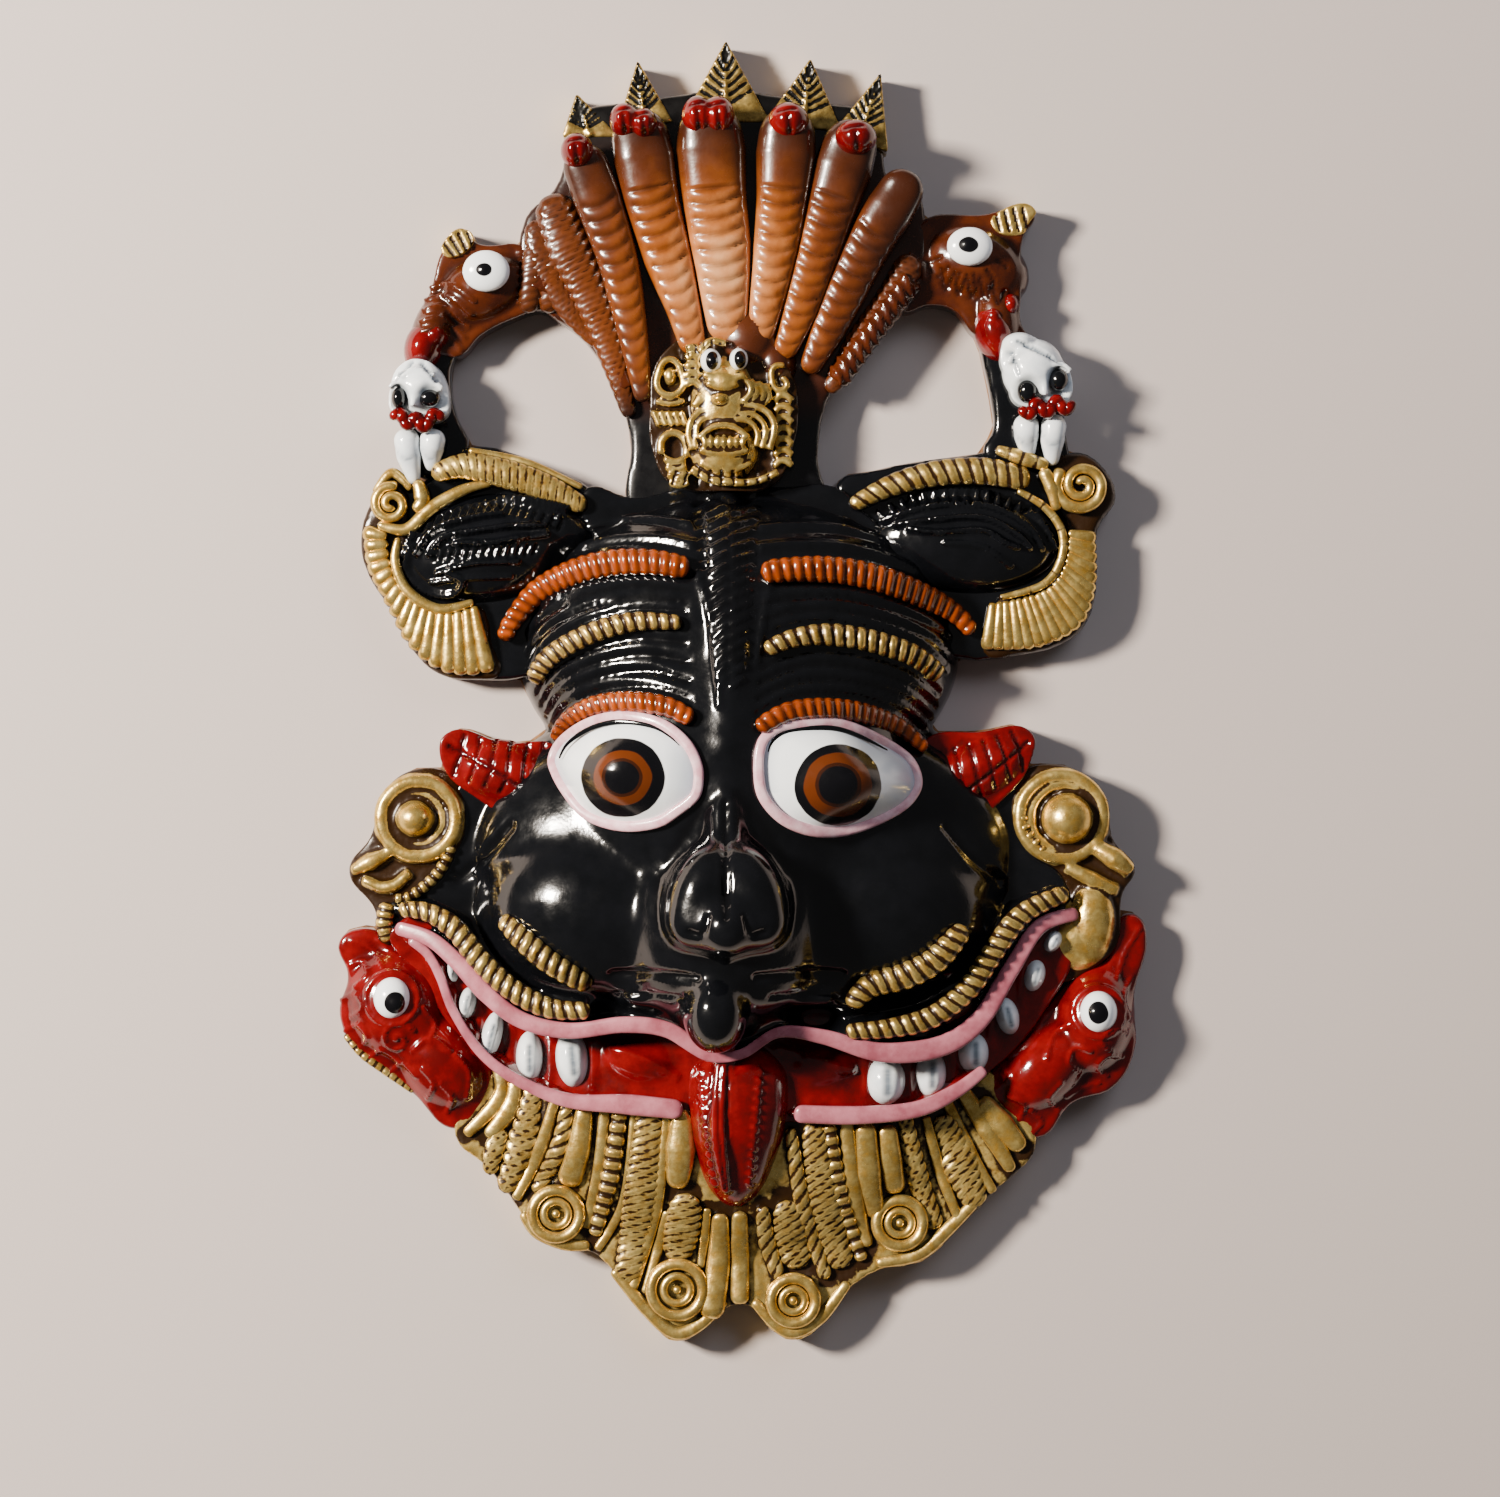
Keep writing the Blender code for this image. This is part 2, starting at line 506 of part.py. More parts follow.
def centre_in_plan(thing):
    """Slides a piece so that the middle of its outer box is over the origin."""
    spans = [[v.co[axis] for v in thing.data.vertices] for axis in (0, 1)]
    middle = [(min(span) + max(span)) / 2 for span in spans]
    thing.data.transform(Matrix.Translation((-middle[0], -middle[1], 0)))


def cut(target, cutter):
    """Cuts one piece from another."""
    step = target.modifiers.new(cutter.name, "BOOLEAN")
    step.operation = "DIFFERENCE"
    step.solver = "EXACT"
    step.object = cutter


def make_hollow():
    """The hollow behind the face: the same domes, smaller by the wall."""
    clay = bmesh.new()
    wall = WALL / UNIT
    for (mx, my), (rx, ry), share in FACE_DOMES:
        ball(clay, (mx, my, 0), (rx - wall, ry - wall, RISE * share - wall), sides=40)
    return fuse("hollow", clay, HOLLOW_GRAIN, HOLLOW_FACETS)


def make_back_plane():
    """Everything below the back is cut away flat."""
    clay = bmesh.new()
    deep = MASK_HEIGHT / 4
    size = Matrix.Diagonal((2 * MASK_HEIGHT, 2 * MASK_HEIGHT, deep, 1.0))
    bmesh.ops.create_cube(clay, size=1.0, matrix=Matrix.Translation((0, 0, -deep / 2)) @ size)
    mesh = bpy.data.meshes.new("back_plane")
    clay.to_mesh(mesh)
    clay.free()
    return bpy.data.objects.new("back_plane", mesh)


def mask_material():
    """Gloss enamel over carved wood; black covers most of the face."""
    material = bpy.data.materials.new("gloss_enamel")
    material.use_nodes = True
    shader = material.node_tree.nodes["Principled BSDF"]
    shader.inputs["Base Color"].default_value = MASK_COLOUR
    shader.inputs["Roughness"].default_value = MASK_ROUGHNESS
    shader.inputs["Metallic"].default_value = 0.0
    return material


def main():
    for old in list(bpy.data.objects):
        bpy.data.objects.remove(old)
    parts = bpy.data.collections.new("kirtimukha_wall_mask")
    cutters = bpy.data.collections.new("cutters")
    bpy.context.scene.collection.children.link(parts)
    bpy.context.scene.collection.children.link(cutters)

    clay = bmesh.new()
    carve_face(clay)
    carve_ropes(clay)
    carve_eyes(clay)
    carve_mouth(clay)
    carve_beard(clay)
    carve_ears(clay)
    carve_hood(clay)
    carve_lion(clay)
    carve_serpents(clay)
    carve_cheeks(clay)
    carve_jaw_heads(clay)
    mask = fuse("mask", clay, GRAIN, FACETS)
    centre_in_plan(mask)
    mask.data.materials.append(mask_material())
    parts.objects.link(mask)

    for cutter in (make_hollow(), make_back_plane()):
        cutters.objects.link(cutter)
        cutter.hide_render = True
        cutter.display_type = "WIRE"
        cut(mask, cutter)


main()
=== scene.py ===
# %% [markdown]
# # Painted kirtimukha wall mask: the looks
# The real mask is one block of soft wood, carved with gouges, sealed and painted by hand in gloss
# enamels and pale gold, with a thin brown wash left standing in the cuts. It could be shown as one
# mesh with a painted texture, but brushed enamel stops where a carved form stops. So each painted
# form is a piece of its own here, sunk into its neighbours, and all of them stand for one node.

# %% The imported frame
import math

import bmesh
import bpy
import numpy as np
from mathutils import Matrix, Vector


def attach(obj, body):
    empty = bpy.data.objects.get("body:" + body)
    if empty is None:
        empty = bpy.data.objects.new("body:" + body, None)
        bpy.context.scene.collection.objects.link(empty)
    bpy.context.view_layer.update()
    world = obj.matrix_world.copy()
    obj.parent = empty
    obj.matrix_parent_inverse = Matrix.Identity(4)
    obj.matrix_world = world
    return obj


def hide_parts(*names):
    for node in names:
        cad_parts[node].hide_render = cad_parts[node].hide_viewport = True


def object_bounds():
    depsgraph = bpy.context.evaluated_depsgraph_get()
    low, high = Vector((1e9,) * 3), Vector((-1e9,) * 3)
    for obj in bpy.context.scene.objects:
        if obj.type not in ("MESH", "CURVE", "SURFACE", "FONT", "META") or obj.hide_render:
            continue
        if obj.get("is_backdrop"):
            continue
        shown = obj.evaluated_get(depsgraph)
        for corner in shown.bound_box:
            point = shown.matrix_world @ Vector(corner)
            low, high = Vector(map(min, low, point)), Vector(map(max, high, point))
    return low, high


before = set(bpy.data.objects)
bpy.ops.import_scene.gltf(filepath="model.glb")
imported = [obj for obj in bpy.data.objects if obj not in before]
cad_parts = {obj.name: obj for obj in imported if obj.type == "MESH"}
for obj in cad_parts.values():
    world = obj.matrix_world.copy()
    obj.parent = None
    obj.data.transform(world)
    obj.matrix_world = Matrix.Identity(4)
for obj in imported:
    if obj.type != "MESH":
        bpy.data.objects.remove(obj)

cad_low, cad_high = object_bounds()
print("frame:", [round(v, 4) for v in cad_low], [round(v, 4) for v in cad_high])

# %% [markdown]
# ## The carving unit
# A carver works in proportions, not in metres. The mask is 360 units tall, and every place below is
# counted in those units from the middle of the mask, as in the part's own source. At the real
# size one unit is one millimetre.

# %% The carving unit and the main heights
UNIT = (cad_high.y - cad_low.y) / 360
GROUND = 11               # the flat ground that ears, hood and serpents are carved on
RISE = 45                 # the bare face between the eyes
WALL = 6                  # shell between the face and the hollow behind it
SINK = 3                  # how far a form reaches below the back before it is cut flat
BOARD = 2.2               # the bare back edge that the paint doesn't reach
FOOT = 1.4                # painted forms end this high, sunk in the bare back edge
print(f"one carving unit is {UNIT * 1000:.3f} mm")


def at(x, y, z=0.0):
    """A place in carving units, in metres."""
    return Vector((x, y, z)) * UNIT


# %% [markdown]
# ## The bare face as a few domes
# A face that bulges over brow and cheeks can be sculpted, or built from domes that run into each
# other. The domes are kept as numbers, so that ropes, lips and eyes can ask how high the face is
# under them.

# %% Face domes and their height
FACE_DOMES = [
    ((-1, 12), (62, 44), 0.86),
    ((-3, -22), (52, 62), 1.0),
    ((0, -46), (79, 49), 0.80),
    ((-38, -60), (38, 31), 0.84),
    ((34, -61), (40, 31), 0.84),
]
MUZZLE = ((-5, -64), (36, 36), 1.12)


def face_height(x, y):
    """How high the bare face stands at a place, in carving units."""
    best = GROUND
    for (mx, my), (rx, ry), share in FACE_DOMES + [MUZZLE]:
        inside = 1 - ((x - mx) / rx) ** 2 - ((y - my) / ry) ** 2
        if inside > 0:
            best = max(best, RISE * share * math.sqrt(inside))
    return best


def on_face(points, lift):
    """Lays a plan line on the face, lifted by so much."""
    return [(x, y, face_height(x, y) + lift) for x, y in points]


def between(start, end, share):
    """The place that lies a share of the way from start to end."""
    return tuple(a + (b - a) * share for a, b in zip(start, end))


print("face height between the eyes:", round(face_height(-3, -22), 1))

# %% [markdown]
# ## Clay: the rough forms
# Every painted form starts as overlapping rough forms in one bmesh: balls, flat slabs with a smooth
# outline, and round ropes. A bezier curve gives the slabs and ropes, because it runs smoothly
# through a few points.

# %% Balls, slabs and round ropes
def ball(clay, centre, radii, turn=0.0, sides=24):
    """Adds an ellipsoid, turned in plan by degrees."""
    place = Matrix.Translation(at(*centre)) @ Matrix.Rotation(math.radians(turn), 4, "Z")
    size = Matrix.Diagonal((*(r * UNIT for r in radii), 1.0))
    lump = bmesh.new()
    bmesh.ops.create_uvsphere(
        lump, u_segments=sides, v_segments=sides // 2, radius=1.0, matrix=place @ size)
    mesh = bpy.data.meshes.new("lump")
    lump.to_mesh(mesh)
    lump.free()
    clay.from_mesh(mesh)
    bpy.data.meshes.remove(mesh)


def add_curve(clay, curve, lift=0.0):
    """Adds a curve's own surface to the clay, with its caps welded on."""
    former = bpy.data.objects.new("former", curve)
    bpy.context.scene.collection.objects.link(former)
    ready = former.evaluated_get(bpy.context.evaluated_depsgraph_get())
    mesh = bpy.data.meshes.new_from_object(ready)
    mesh.transform(Matrix.Translation((0, 0, lift)))
    before = len(clay.verts)
    clay.from_mesh(mesh)
    clay.verts.ensure_lookup_table()
    bmesh.ops.remove_doubles(clay, verts=clay.verts[before:], dist=0.00001)
    bpy.data.objects.remove(former)
    bpy.data.curves.remove(curve)
    bpy.data.meshes.remove(mesh)


def fill_spline(spline, points, handles="AUTO"):
    """Puts points on a spline that runs smoothly, or straight, through them."""
    spline.bezier_points.add(len(points) - 1)
    for knot, point in zip(spline.bezier_points, points):
        knot.co = at(*point)
        knot.handle_left_type = handles
        knot.handle_right_type = handles


def slab(clay, outline, top, smooth=True):
    """Adds a flat ground from below the back up to a height."""
    curve = bpy.data.curves.new("slab", "CURVE")
    curve.dimensions = "2D"
    curve.fill_mode = "BOTH"
    curve.resolution_u = 8
    curve.extrude = (top + SINK) / 2 * UNIT
    spline = curve.splines.new("BEZIER")
    fill_spline(spline, outline, "AUTO" if smooth else "VECTOR")
    spline.use_cyclic_u = True
    add_curve(clay, curve, (top - SINK) / 2 * UNIT)


def rope(clay, points, half_width, closed=False, ends=1.0):
    """Adds a round strand through points; its ends are a share as thick as its middle."""
    curve = bpy.data.curves.new("rope", "CURVE")
    curve.dimensions = "3D"
    curve.resolution_u = 8
    curve.bevel_resolution = 3
    curve.bevel_depth = half_width * UNIT
    curve.use_fill_caps = not closed
    spline = curve.splines.new("BEZIER")
    fill_spline(spline, points)
    spline.use_cyclic_u = closed
    if not closed:
        spline.bezier_points[0].radius = ends
        spline.bezier_points[-1].radius = ends
    add_curve(clay, curve)


def circle(centre, radius, count=8):
    """Places evenly round a circle; centre is (x, y, z)."""
    x, y, z = centre
    turns = [step * math.tau / count for step in range(count)]
    return [(x + radius * math.cos(t), y + radius * math.sin(t), z) for t in turns]


def ring(clay, centre, radius, half):
    """Adds a round rope laid in a circle."""
    rope(clay, circle(centre, radius), half, closed=True)


print("a ring starts at", circle((0, 0, 0), 10)[0], "and has", len(circle((0, 0, 0), 10)), "places")


# %% [markdown]
# ## Fusing clay into one skin
# Overlapping forms show hard creases that no painted carving has. A voxel remesh fuses them into one
# closed skin, a little rounded where they meet, as sealed and painted wood is. The finished skin is
# cut flat just above the back with a boolean.

# %% Fuse a clay
GRAIN = 0.75              # the skin's facets, in carving units: fine enough for a gouge's edge


def block_below(height):
    """A block that reaches from far below up to a height."""
    clay = bmesh.new()
    size = Matrix.Diagonal((400 * UNIT, 600 * UNIT, 60 * UNIT, 1.0))
    place = Matrix.Translation(at(0, 0, height - 30))
    bmesh.ops.create_cube(clay, size=1.0, matrix=place @ size)
    mesh = bpy.data.meshes.new("below")
    clay.to_mesh(mesh)
    clay.free()
    return bpy.data.objects.new("below", mesh)


def fuse(name, clay, cutters, grain=GRAIN, rounds=3, within=None):
    """Fuses overlapping forms into one skin, softens it and cuts it with each cutter.

    Only what lies within the form `within` is kept, where one is given."""
    mesh = bpy.data.meshes.new(name)
    clay.to_mesh(mesh)
    clay.free()
    rough = bpy.data.objects.new(name, mesh)
    bpy.context.scene.collection.objects.link(rough)
    skin = rough.modifiers.new("skin", "REMESH")
    skin.mode = "VOXEL"
    skin.voxel_size = grain * UNIT
    soften = rough.modifiers.new("soften", "SMOOTH")
    soften.factor = 0.5
    soften.iterations = rounds
    jobs = [(cutter, "DIFFERENCE") for cutter in cutters]
    if within:
        jobs.append((within, "INTERSECT"))
    for form, operation in jobs:
        step = rough.modifiers.new(form.name, "BOOLEAN")
        step.operation = operation
        step.solver = "MANIFOLD"
        step.object = form
    fused = bpy.data.meshes.new_from_object(rough.evaluated_get(bpy.context.evaluated_depsgraph_get()))
    fused.shade_smooth()
    bpy.data.objects.remove(rough)
    bpy.data.meshes.remove(mesh)
    print(f"{name}: fused to {len(fused.polygons)} faces")
    return bpy.data.objects.new(name, fused)


below = block_below(FOOT)


def domes_less(wall, name, grain, cutters=()):
    """The face's domes, smaller by a wall, fused: the form of the hollow."""
    clay = bmesh.new()
    for (mx, my), (rx, ry), share in FACE_DOMES:
        ball(clay, (mx, my, 0), (rx - wall, ry - wall, RISE * share - wall), sides=48)
    return fuse(name, clay, cutters, grain=grain, rounds=4)


hollow_cutter = domes_less(WALL - 1.2, "hollow_cutter", 2.0)

# %% [markdown]
# ## Gouge lines, the brown wash and painted shade
# Finer cuts follow the fused skin: each is a plan line with a width and a depth, and the points of
# the mesh near it move along their own normals. A minus depth raises a ridge instead. Where a cut
# runs, and wherever a place lies lower than the surface round it, the colour is darkened: on the
# gold this is the painter's thin brown wash, on the enamels and glazes it is painted shade, and so
# is the dark on every strand's lower sides. Its strength is kept in a point attribute,
# `wash_and_shade`, which the paints read.

# %% Smooth lines
def smooth_line(points, step, closed=False):
    """Places evenly spaced along a smooth line through points, and how far along each one is."""
    knots = [tuple(p) for p in points]
    knots = [knots[-1], *knots, *knots[:2]] if closed else [knots[0], *knots, knots[-1]]
    knots = np.array(knots, float)
    share = np.linspace(0, 1, 16, endpoint=False)[:, None]
    runs = []
    for a, b, c, d in zip(knots, knots[1:], knots[2:], knots[3:]):
        bend = 2 * a - 5 * b + 4 * c - d
        runs.append(b + ((c - a) * share + bend * share ** 2 + (3 * b - a - 3 * c + d) * share ** 3) / 2)
    runs.append(knots[-2][None])
    dense = np.concatenate(runs)
    gone = np.concatenate([[0], np.cumsum(np.linalg.norm(np.diff(dense, axis=0), axis=1))])
    places = np.linspace(0, gone[-1], max(6, round(gone[-1] / step)) + 1)
    return np.stack([np.interp(places, gone, dense[:, k]) for k in range(dense.shape[1])], 1), places


bend, along_bend = smooth_line([(0, 0), (10, 4), (20, 0)], 1.0)
print(f"a low bend 20 units wide is {along_bend[-1]:.1f} long, in {len(bend)} places")


# %% [markdown]
# A skin is read into arrays, changed and written back. A cut's profile is a smooth bowl, deepest on
# its line. Hollows are found by averaging neighbours: where the averaged skin stands higher than
# the real one, the gold's wash and the enamels' painted shade go.

# %% Read and write a skin, cut lines in it
def read_skin(piece):
    """A piece's points and normals, in carving units, and its wash and painted shade."""
    mesh = piece.data
    count = len(mesh.vertices)
    spots = np.empty(count * 3, np.float32)
    facing = np.empty(count * 3, np.float32)
    mesh.vertices.foreach_get("co", spots)
    mesh.vertex_normals.foreach_get("vector", facing)
    wash_and_shade = np.zeros(count, np.float32)
    if "wash_and_shade" in mesh.attributes:
        mesh.attributes["wash_and_shade"].data.foreach_get("value", wash_and_shade)
    return spots.reshape(-1, 3) / UNIT, facing.reshape(-1, 3), wash_and_shade


def write_skin(piece, spots, wash_and_shade):
    """Puts a piece's points and their wash and painted shade back."""
    mesh = piece.data
    mesh.vertices.foreach_set("co", (spots * UNIT).astype(np.float32).ravel())
    layer = mesh.attributes.get("wash_and_shade") or mesh.attributes.new("wash_and_shade", "FLOAT", "POINT")
    layer.data.foreach_set("value", np.clip(wash_and_shade, 0, 1).astype(np.float32))
    mesh.update()


def incise(piece, cuts):
    """Cuts a groove along each plan line, given as points, half width and depth."""
    spots, facing, wash_and_shade = read_skin(piece)
    shift = np.zeros(len(spots))
    for points, half, depth in cuts:
        line, _ = smooth_line([p[:2] for p in points], min(half, 1.0))
        low = line.min(0) - half
        high = line.max(0) + half
        near = ((spots[:, :2] > low) & (spots[:, :2] < high)).all(1) & (facing[:, 2] > 0.05)
        rows = np.nonzero(near)[0]
        if not len(rows):
            continue
        gap = np.full(len(rows), 1e9)
        for spot in line:
            gap = np.minimum(gap, np.hypot(*(spots[rows, :2] - spot).T))
        profile = np.clip(1 - (gap / half) ** 2, 0, 1) ** 2
        if depth > 0:
            shift[rows] = np.minimum(shift[rows], -depth * profile)
            # a groove is darkened: wash on the gold, painted shade on the enamels
            wash_and_shade[rows] = np.maximum(wash_and_shade[rows], profile)
        else:
            shift[rows] = np.maximum(shift[rows], -depth * profile)
    write_skin(piece, spots + facing * shift[:, None], wash_and_shade)


def averaged(piece, spots, passes, share=None):
    """The spots moved towards the mean of their neighbours, pass by pass, each by its share."""
    count = len(spots)
    edges = np.empty(len(piece.data.edges) * 2, np.int32)
    piece.data.edges.foreach_get("vertices", edges)
    one, other = edges.reshape(-1, 2).T
    degree = np.bincount(one, minlength=count) + np.bincount(other, minlength=count)
    soft = spots.astype(float)
    for _ in range(passes):
        total = np.stack([
            np.bincount(one, soft[other, k], count) + np.bincount(other, soft[one, k], count)
            for k in range(3)], 1)
        mean = total / np.maximum(degree, 1)[:, None]
        soft = mean if share is None else soft + (mean - soft) * share[:, None]
    return soft


def soften_above(piece, height, passes):
    """Rounds the skin off above a height, so that rough forms flow into each other."""
    spots, _, wash_and_shade = read_skin(piece)
    share = np.clip((spots[:, 2] - height) / 5, 0, 1) * 0.8
    write_skin(piece, averaged(piece, spots, passes, share), wash_and_shade)


def wash_and_shade_hollows(piece, full=0.5, passes=10):
    """Adds wash and painted shade where the skin lies lower than a smoothed copy of itself; full is the
    depth.
    """
    spots, facing, wash_and_shade = read_skin(piece)
    soft = averaged(piece, spots, passes)
    hollow = ((soft - spots) * facing).sum(1)
    write_skin(piece, spots, np.maximum(wash_and_shade, np.clip(hollow / full, 0, 1)))


def wash_and_shade_below(piece, height, fade=1.0):
    """Darkens the flat ground below a height, as wash and painted shade."""
    spots, _, wash_and_shade = read_skin(piece)
    write_skin(piece, spots, np.maximum(wash_and_shade, np.clip((height - spots[:, 2]) / fade, 0, 1)))


print("a cut's profile halfway out:", (1 - 0.5 ** 2) ** 2)

# %% [markdown]
# ## Strands
# Ropes, necks, locks, flutes and lips are all one thing: a bar of half-round section that follows
# a line, swells and thins, and is notched across. A plain grid wrapped round the line gives it,
# and the wrapped grid's seam and ends are welded shut. The notch pattern is a function of how
# far along and how far across a point is.

# %% Notches and strands
def notches(pitch, slant=0.0, bow=0.0, vee=0.0, lobe=0.5):
    """A pattern of cuts across a strand; slant, bow and vee bend each cut along the strand."""
    def cut(along, across):
        phase = (along + slant * across + bow * across ** 2 + vee * np.abs(across)) / pitch
        return 1 - np.abs(np.sin(math.pi * phase)) ** lobe
    return cut


def strand(clay, points, widths, tall=1.0, cut=None, depth=0.3, closed=False, step=0.6, around=14,
           square=1.0):
    """Adds a round bar along a line; widths are half widths along it; square below 1 flattens its top."""
    layer = clay.verts.layers.float.get("wash_and_shade") or clay.verts.layers.float.new("wash_and_shade")
    line, gone = smooth_line(points, step, closed)
    last = len(line) - 1
    half = np.interp(gone / gone[-1], np.linspace(0, 1, len(widths)), widths)
    ahead = np.gradient(line[:, :2], axis=0)
    closing = np.ones(len(line))
    if closed:
        ahead[0] = ahead[last] = line[1, :2] - line[last - 1, :2]
    else:
        to_end = np.minimum(gone, gone[-1] - gone)
        closing = np.sqrt(1 - (1 - np.minimum(to_end / half, 1)) ** 2)
    ahead /= np.linalg.norm(ahead, axis=1)[:, None]
    made = bmesh.ops.create_grid(clay, x_segments=last, y_segments=around, size=1.0)["verts"]
    spot = np.array([v.co for v in made])
    row = np.rint((spot[:, 0] + 1) / 2 * last).astype(int)
    angle = (spot[:, 1] + 1) * math.pi
    across = np.sign(np.cos(angle)) * np.abs(np.cos(angle)) ** square
    up = np.sign(np.sin(angle)) * np.abs(np.sin(angle)) ** square
    carved = cut(gone[row], across) * (up > -0.1) if cut else np.zeros(len(row))
    reach = half[row] * closing[row]
    side = reach * across * (1 - 0.35 * depth * carved)
    places = np.stack([
        line[row, 0] - ahead[row, 1] * side,
        line[row, 1] + ahead[row, 0] * side,
        line[row, 2] + reach * tall * up * (1 - depth * carved)], 1) * UNIT
    # The bar's lower sides are marked darker, as painted shade where it meets what lies under it.
    sides = np.clip((0.35 - up) / 0.35, 0, 1)
    for vert, place, mark in zip(made, places, np.maximum(carved, sides)):
        vert.co = place
        vert[layer] = mark
    bmesh.ops.remove_doubles(clay, verts=made, dist=0.01 * UNIT)


def dome(clay, rim, apex, rise, lens=None, rings=26, step=0.7):
    """Adds a bulge that fills a rim: rim points are (x, y, z), rise is its height in the middle.

    A lens is ((x, y), radius, height): a low swelling on the bulge."""
    layer = clay.verts.layers.float.get("wash_and_shade") or clay.verts.layers.float.new("wash_and_shade")
    line, _ = smooth_line(rim, step, closed=True)
    last = len(line) - 1
    made = bmesh.ops.create_grid(clay, x_segments=last, y_segments=rings + 8, size=1.0)["verts"]
    spot = np.array([v.co for v in made])
    row = np.rint((spot[:, 0] + 1) / 2 * last).astype(int)
    level = np.rint((spot[:, 1] + 1) / 2 * (rings + 8))
    out = np.where(level <= rings, level / rings, (rings + 8 - level) / 8)
    edge = line[row]
    x = apex[0] + (edge[:, 0] - apex[0]) * out
    y = apex[1] + (edge[:, 1] - apex[1]) * out
    top = edge[:, 2] * out ** 2 + (1 - out ** 2) * rise
    if lens:
        (lx, ly), radius, height = lens
        near = np.clip(1 - (np.hypot(x - lx, y - ly) / radius) ** 2, 0, 1)
        top = top + height * near ** 2 * (3 - 2 * near)
    z = np.where(level <= rings, top, edge[:, 2] - 3.5)
    # Painted shade on the white near the rim, over the eye's upper part, under the lid.
    lid_shade = np.clip((out - 0.74) / 0.26, 0, 1) ** 1.5 * (y > apex[1] - 4)
    for vert, place, mark in zip(made, np.stack([x, y, z], 1) * UNIT, lid_shade * 0.8):
        vert.co = place
        vert[layer] = mark
    bmesh.ops.remove_doubles(clay, verts=made, dist=0.01 * UNIT)


def to_piece(name, clay):
    """Makes a piece of a clay whose forms stay apart, with all faces outwards."""
    bmesh.ops.recalc_face_normals(clay, faces=clay.faces[:])
    mesh = bpy.data.meshes.new(name)
    clay.to_mesh(mesh)
    clay.free()
    mesh.shade_smooth()
    return bpy.data.objects.new(name, mesh)


def keep(piece, paint):
    """Gives a finished piece its paint and its place in the frame."""
    piece.data.materials.clear()
    piece.data.materials.append(paint)
    bpy.context.scene.collection.objects.link(piece)
    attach(piece, "root")
    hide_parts("mask")
    piece.data.calc_loop_triangles()
    print(f"{piece.name}: {len(piece.data.loop_triangles)} triangles, {paint.name}")


print("notches 3 apart, on and between the cuts:", notches(3)(0, 0), round(notches(3)(1.5, 0), 2))

# %% [markdown]
# ## Paints
# Colours are named as they look, in sRGB, and turned to linear light for the shader. One function
# adds a node. A paint's spots and brush marks are sized from real millimetres.

# %% Colour and node helpers
MM = 0.001
GLOSS_PATCH_MM = 5        # enamel and varnish are even in gloss over about this much


def linear(code):
    """An sRGB hex colour as linear red, green, blue and alpha."""
    shares = [int(code[k:k + 2], 16) / 255 for k in (1, 3, 5)]
    return [s / 12.92 if s <= 0.04045 else ((s + 0.055) / 1.055) ** 2.4 for s in shares] + [1.0]


def add_node(tree, kind, inputs=None, **settings):
    """Adds one node with its settings; an input is a value or the socket that feeds it."""
    made = tree.nodes.new(kind)
    for name, value in settings.items():
        setattr(made, name, value)
    for name, value in (inputs or {}).items():
        if isinstance(value, bpy.types.NodeSocket):
            tree.links.new(value, made.inputs[name])
        else:
            made.inputs[name].default_value = value
    return made


def noise(tree, place, grain_mm, **settings):
    """A noise with clouds of so many millimetres; settings are its other inputs."""
    inputs = {"Vector": place, "Scale": 1 / (grain_mm * MM)}
    inputs.update({name.capitalize(): value for name, value in settings.items()})
    return add_node(tree, "ShaderNodeTexNoise", inputs).outputs["Fac"]


def remap(tree, value, before=(0, 1), after=(0, 1)):
    """A value's range, from before to after, held at its ends."""
    return add_node(tree, "ShaderNodeMapRange", {
        "Value": value, "From Min": before[0], "From Max": before[1],
        "To Min": after[0], "To Max": after[1]}).outputs["Result"]


def maths(tree, operation, one, other):
    """The sum, product or comparison of two values."""
    return add_node(tree, "ShaderNodeMath", {0: one, 1: other}, operation=operation).outputs[0]


def distance(tree, place, centre, stretch):
    """How far a place is from a centre in plan, with X and Y stretched."""
    centred = add_node(tree, "ShaderNodeMapping", {"Vector": place, "Location": -at(*centre)})
    flat = add_node(tree, "ShaderNodeVectorMath", {0: centred.outputs["Vector"], 1: (*stretch, 0.0)},
                    operation="MULTIPLY")
    away = add_node(tree, "ShaderNodeVectorMath", {0: flat.outputs["Vector"]}, operation="LENGTH")
    return away.outputs["Value"]


def bump(tree, shader, height, strength, height_mm):
    """Raises the surface's own look by a few hundredths of a millimetre."""
    made = add_node(tree, "ShaderNodeBump", {
        "Height": height, "Strength": strength, "Distance": height_mm * MM})
    tree.links.new(made.outputs["Normal"], shader.inputs["Normal"])


def ramp_colour(tree, share, stops):
    """The colour at a share of a ramp's stops: (place, hex colour)."""
    ramp = add_node(tree, "ShaderNodeValToRGB", {"Fac": share})
    band = ramp.color_ramp
    while len(band.elements) < len(stops):
        band.elements.new(1.0)
    for element, (place, code) in zip(band.elements, stops):
        element.position = place
        element.color = linear(code)
    return ramp.outputs["Color"]


def new_paint(name):
    """An empty paint: its material, node tree, shader, object place, and its wash and painted shade."""
    paint = bpy.data.materials.new(name)
    paint.use_nodes = True
    tree = paint.node_tree
    shader = tree.nodes["Principled BSDF"]
    place = add_node(tree, "ShaderNodeTexCoord").outputs["Object"]
    wash_and_shade = add_node(tree, "ShaderNodeAttribute", attribute_name="wash_and_shade").outputs["Fac"]
    return paint, tree, shader, place, wash_and_shade


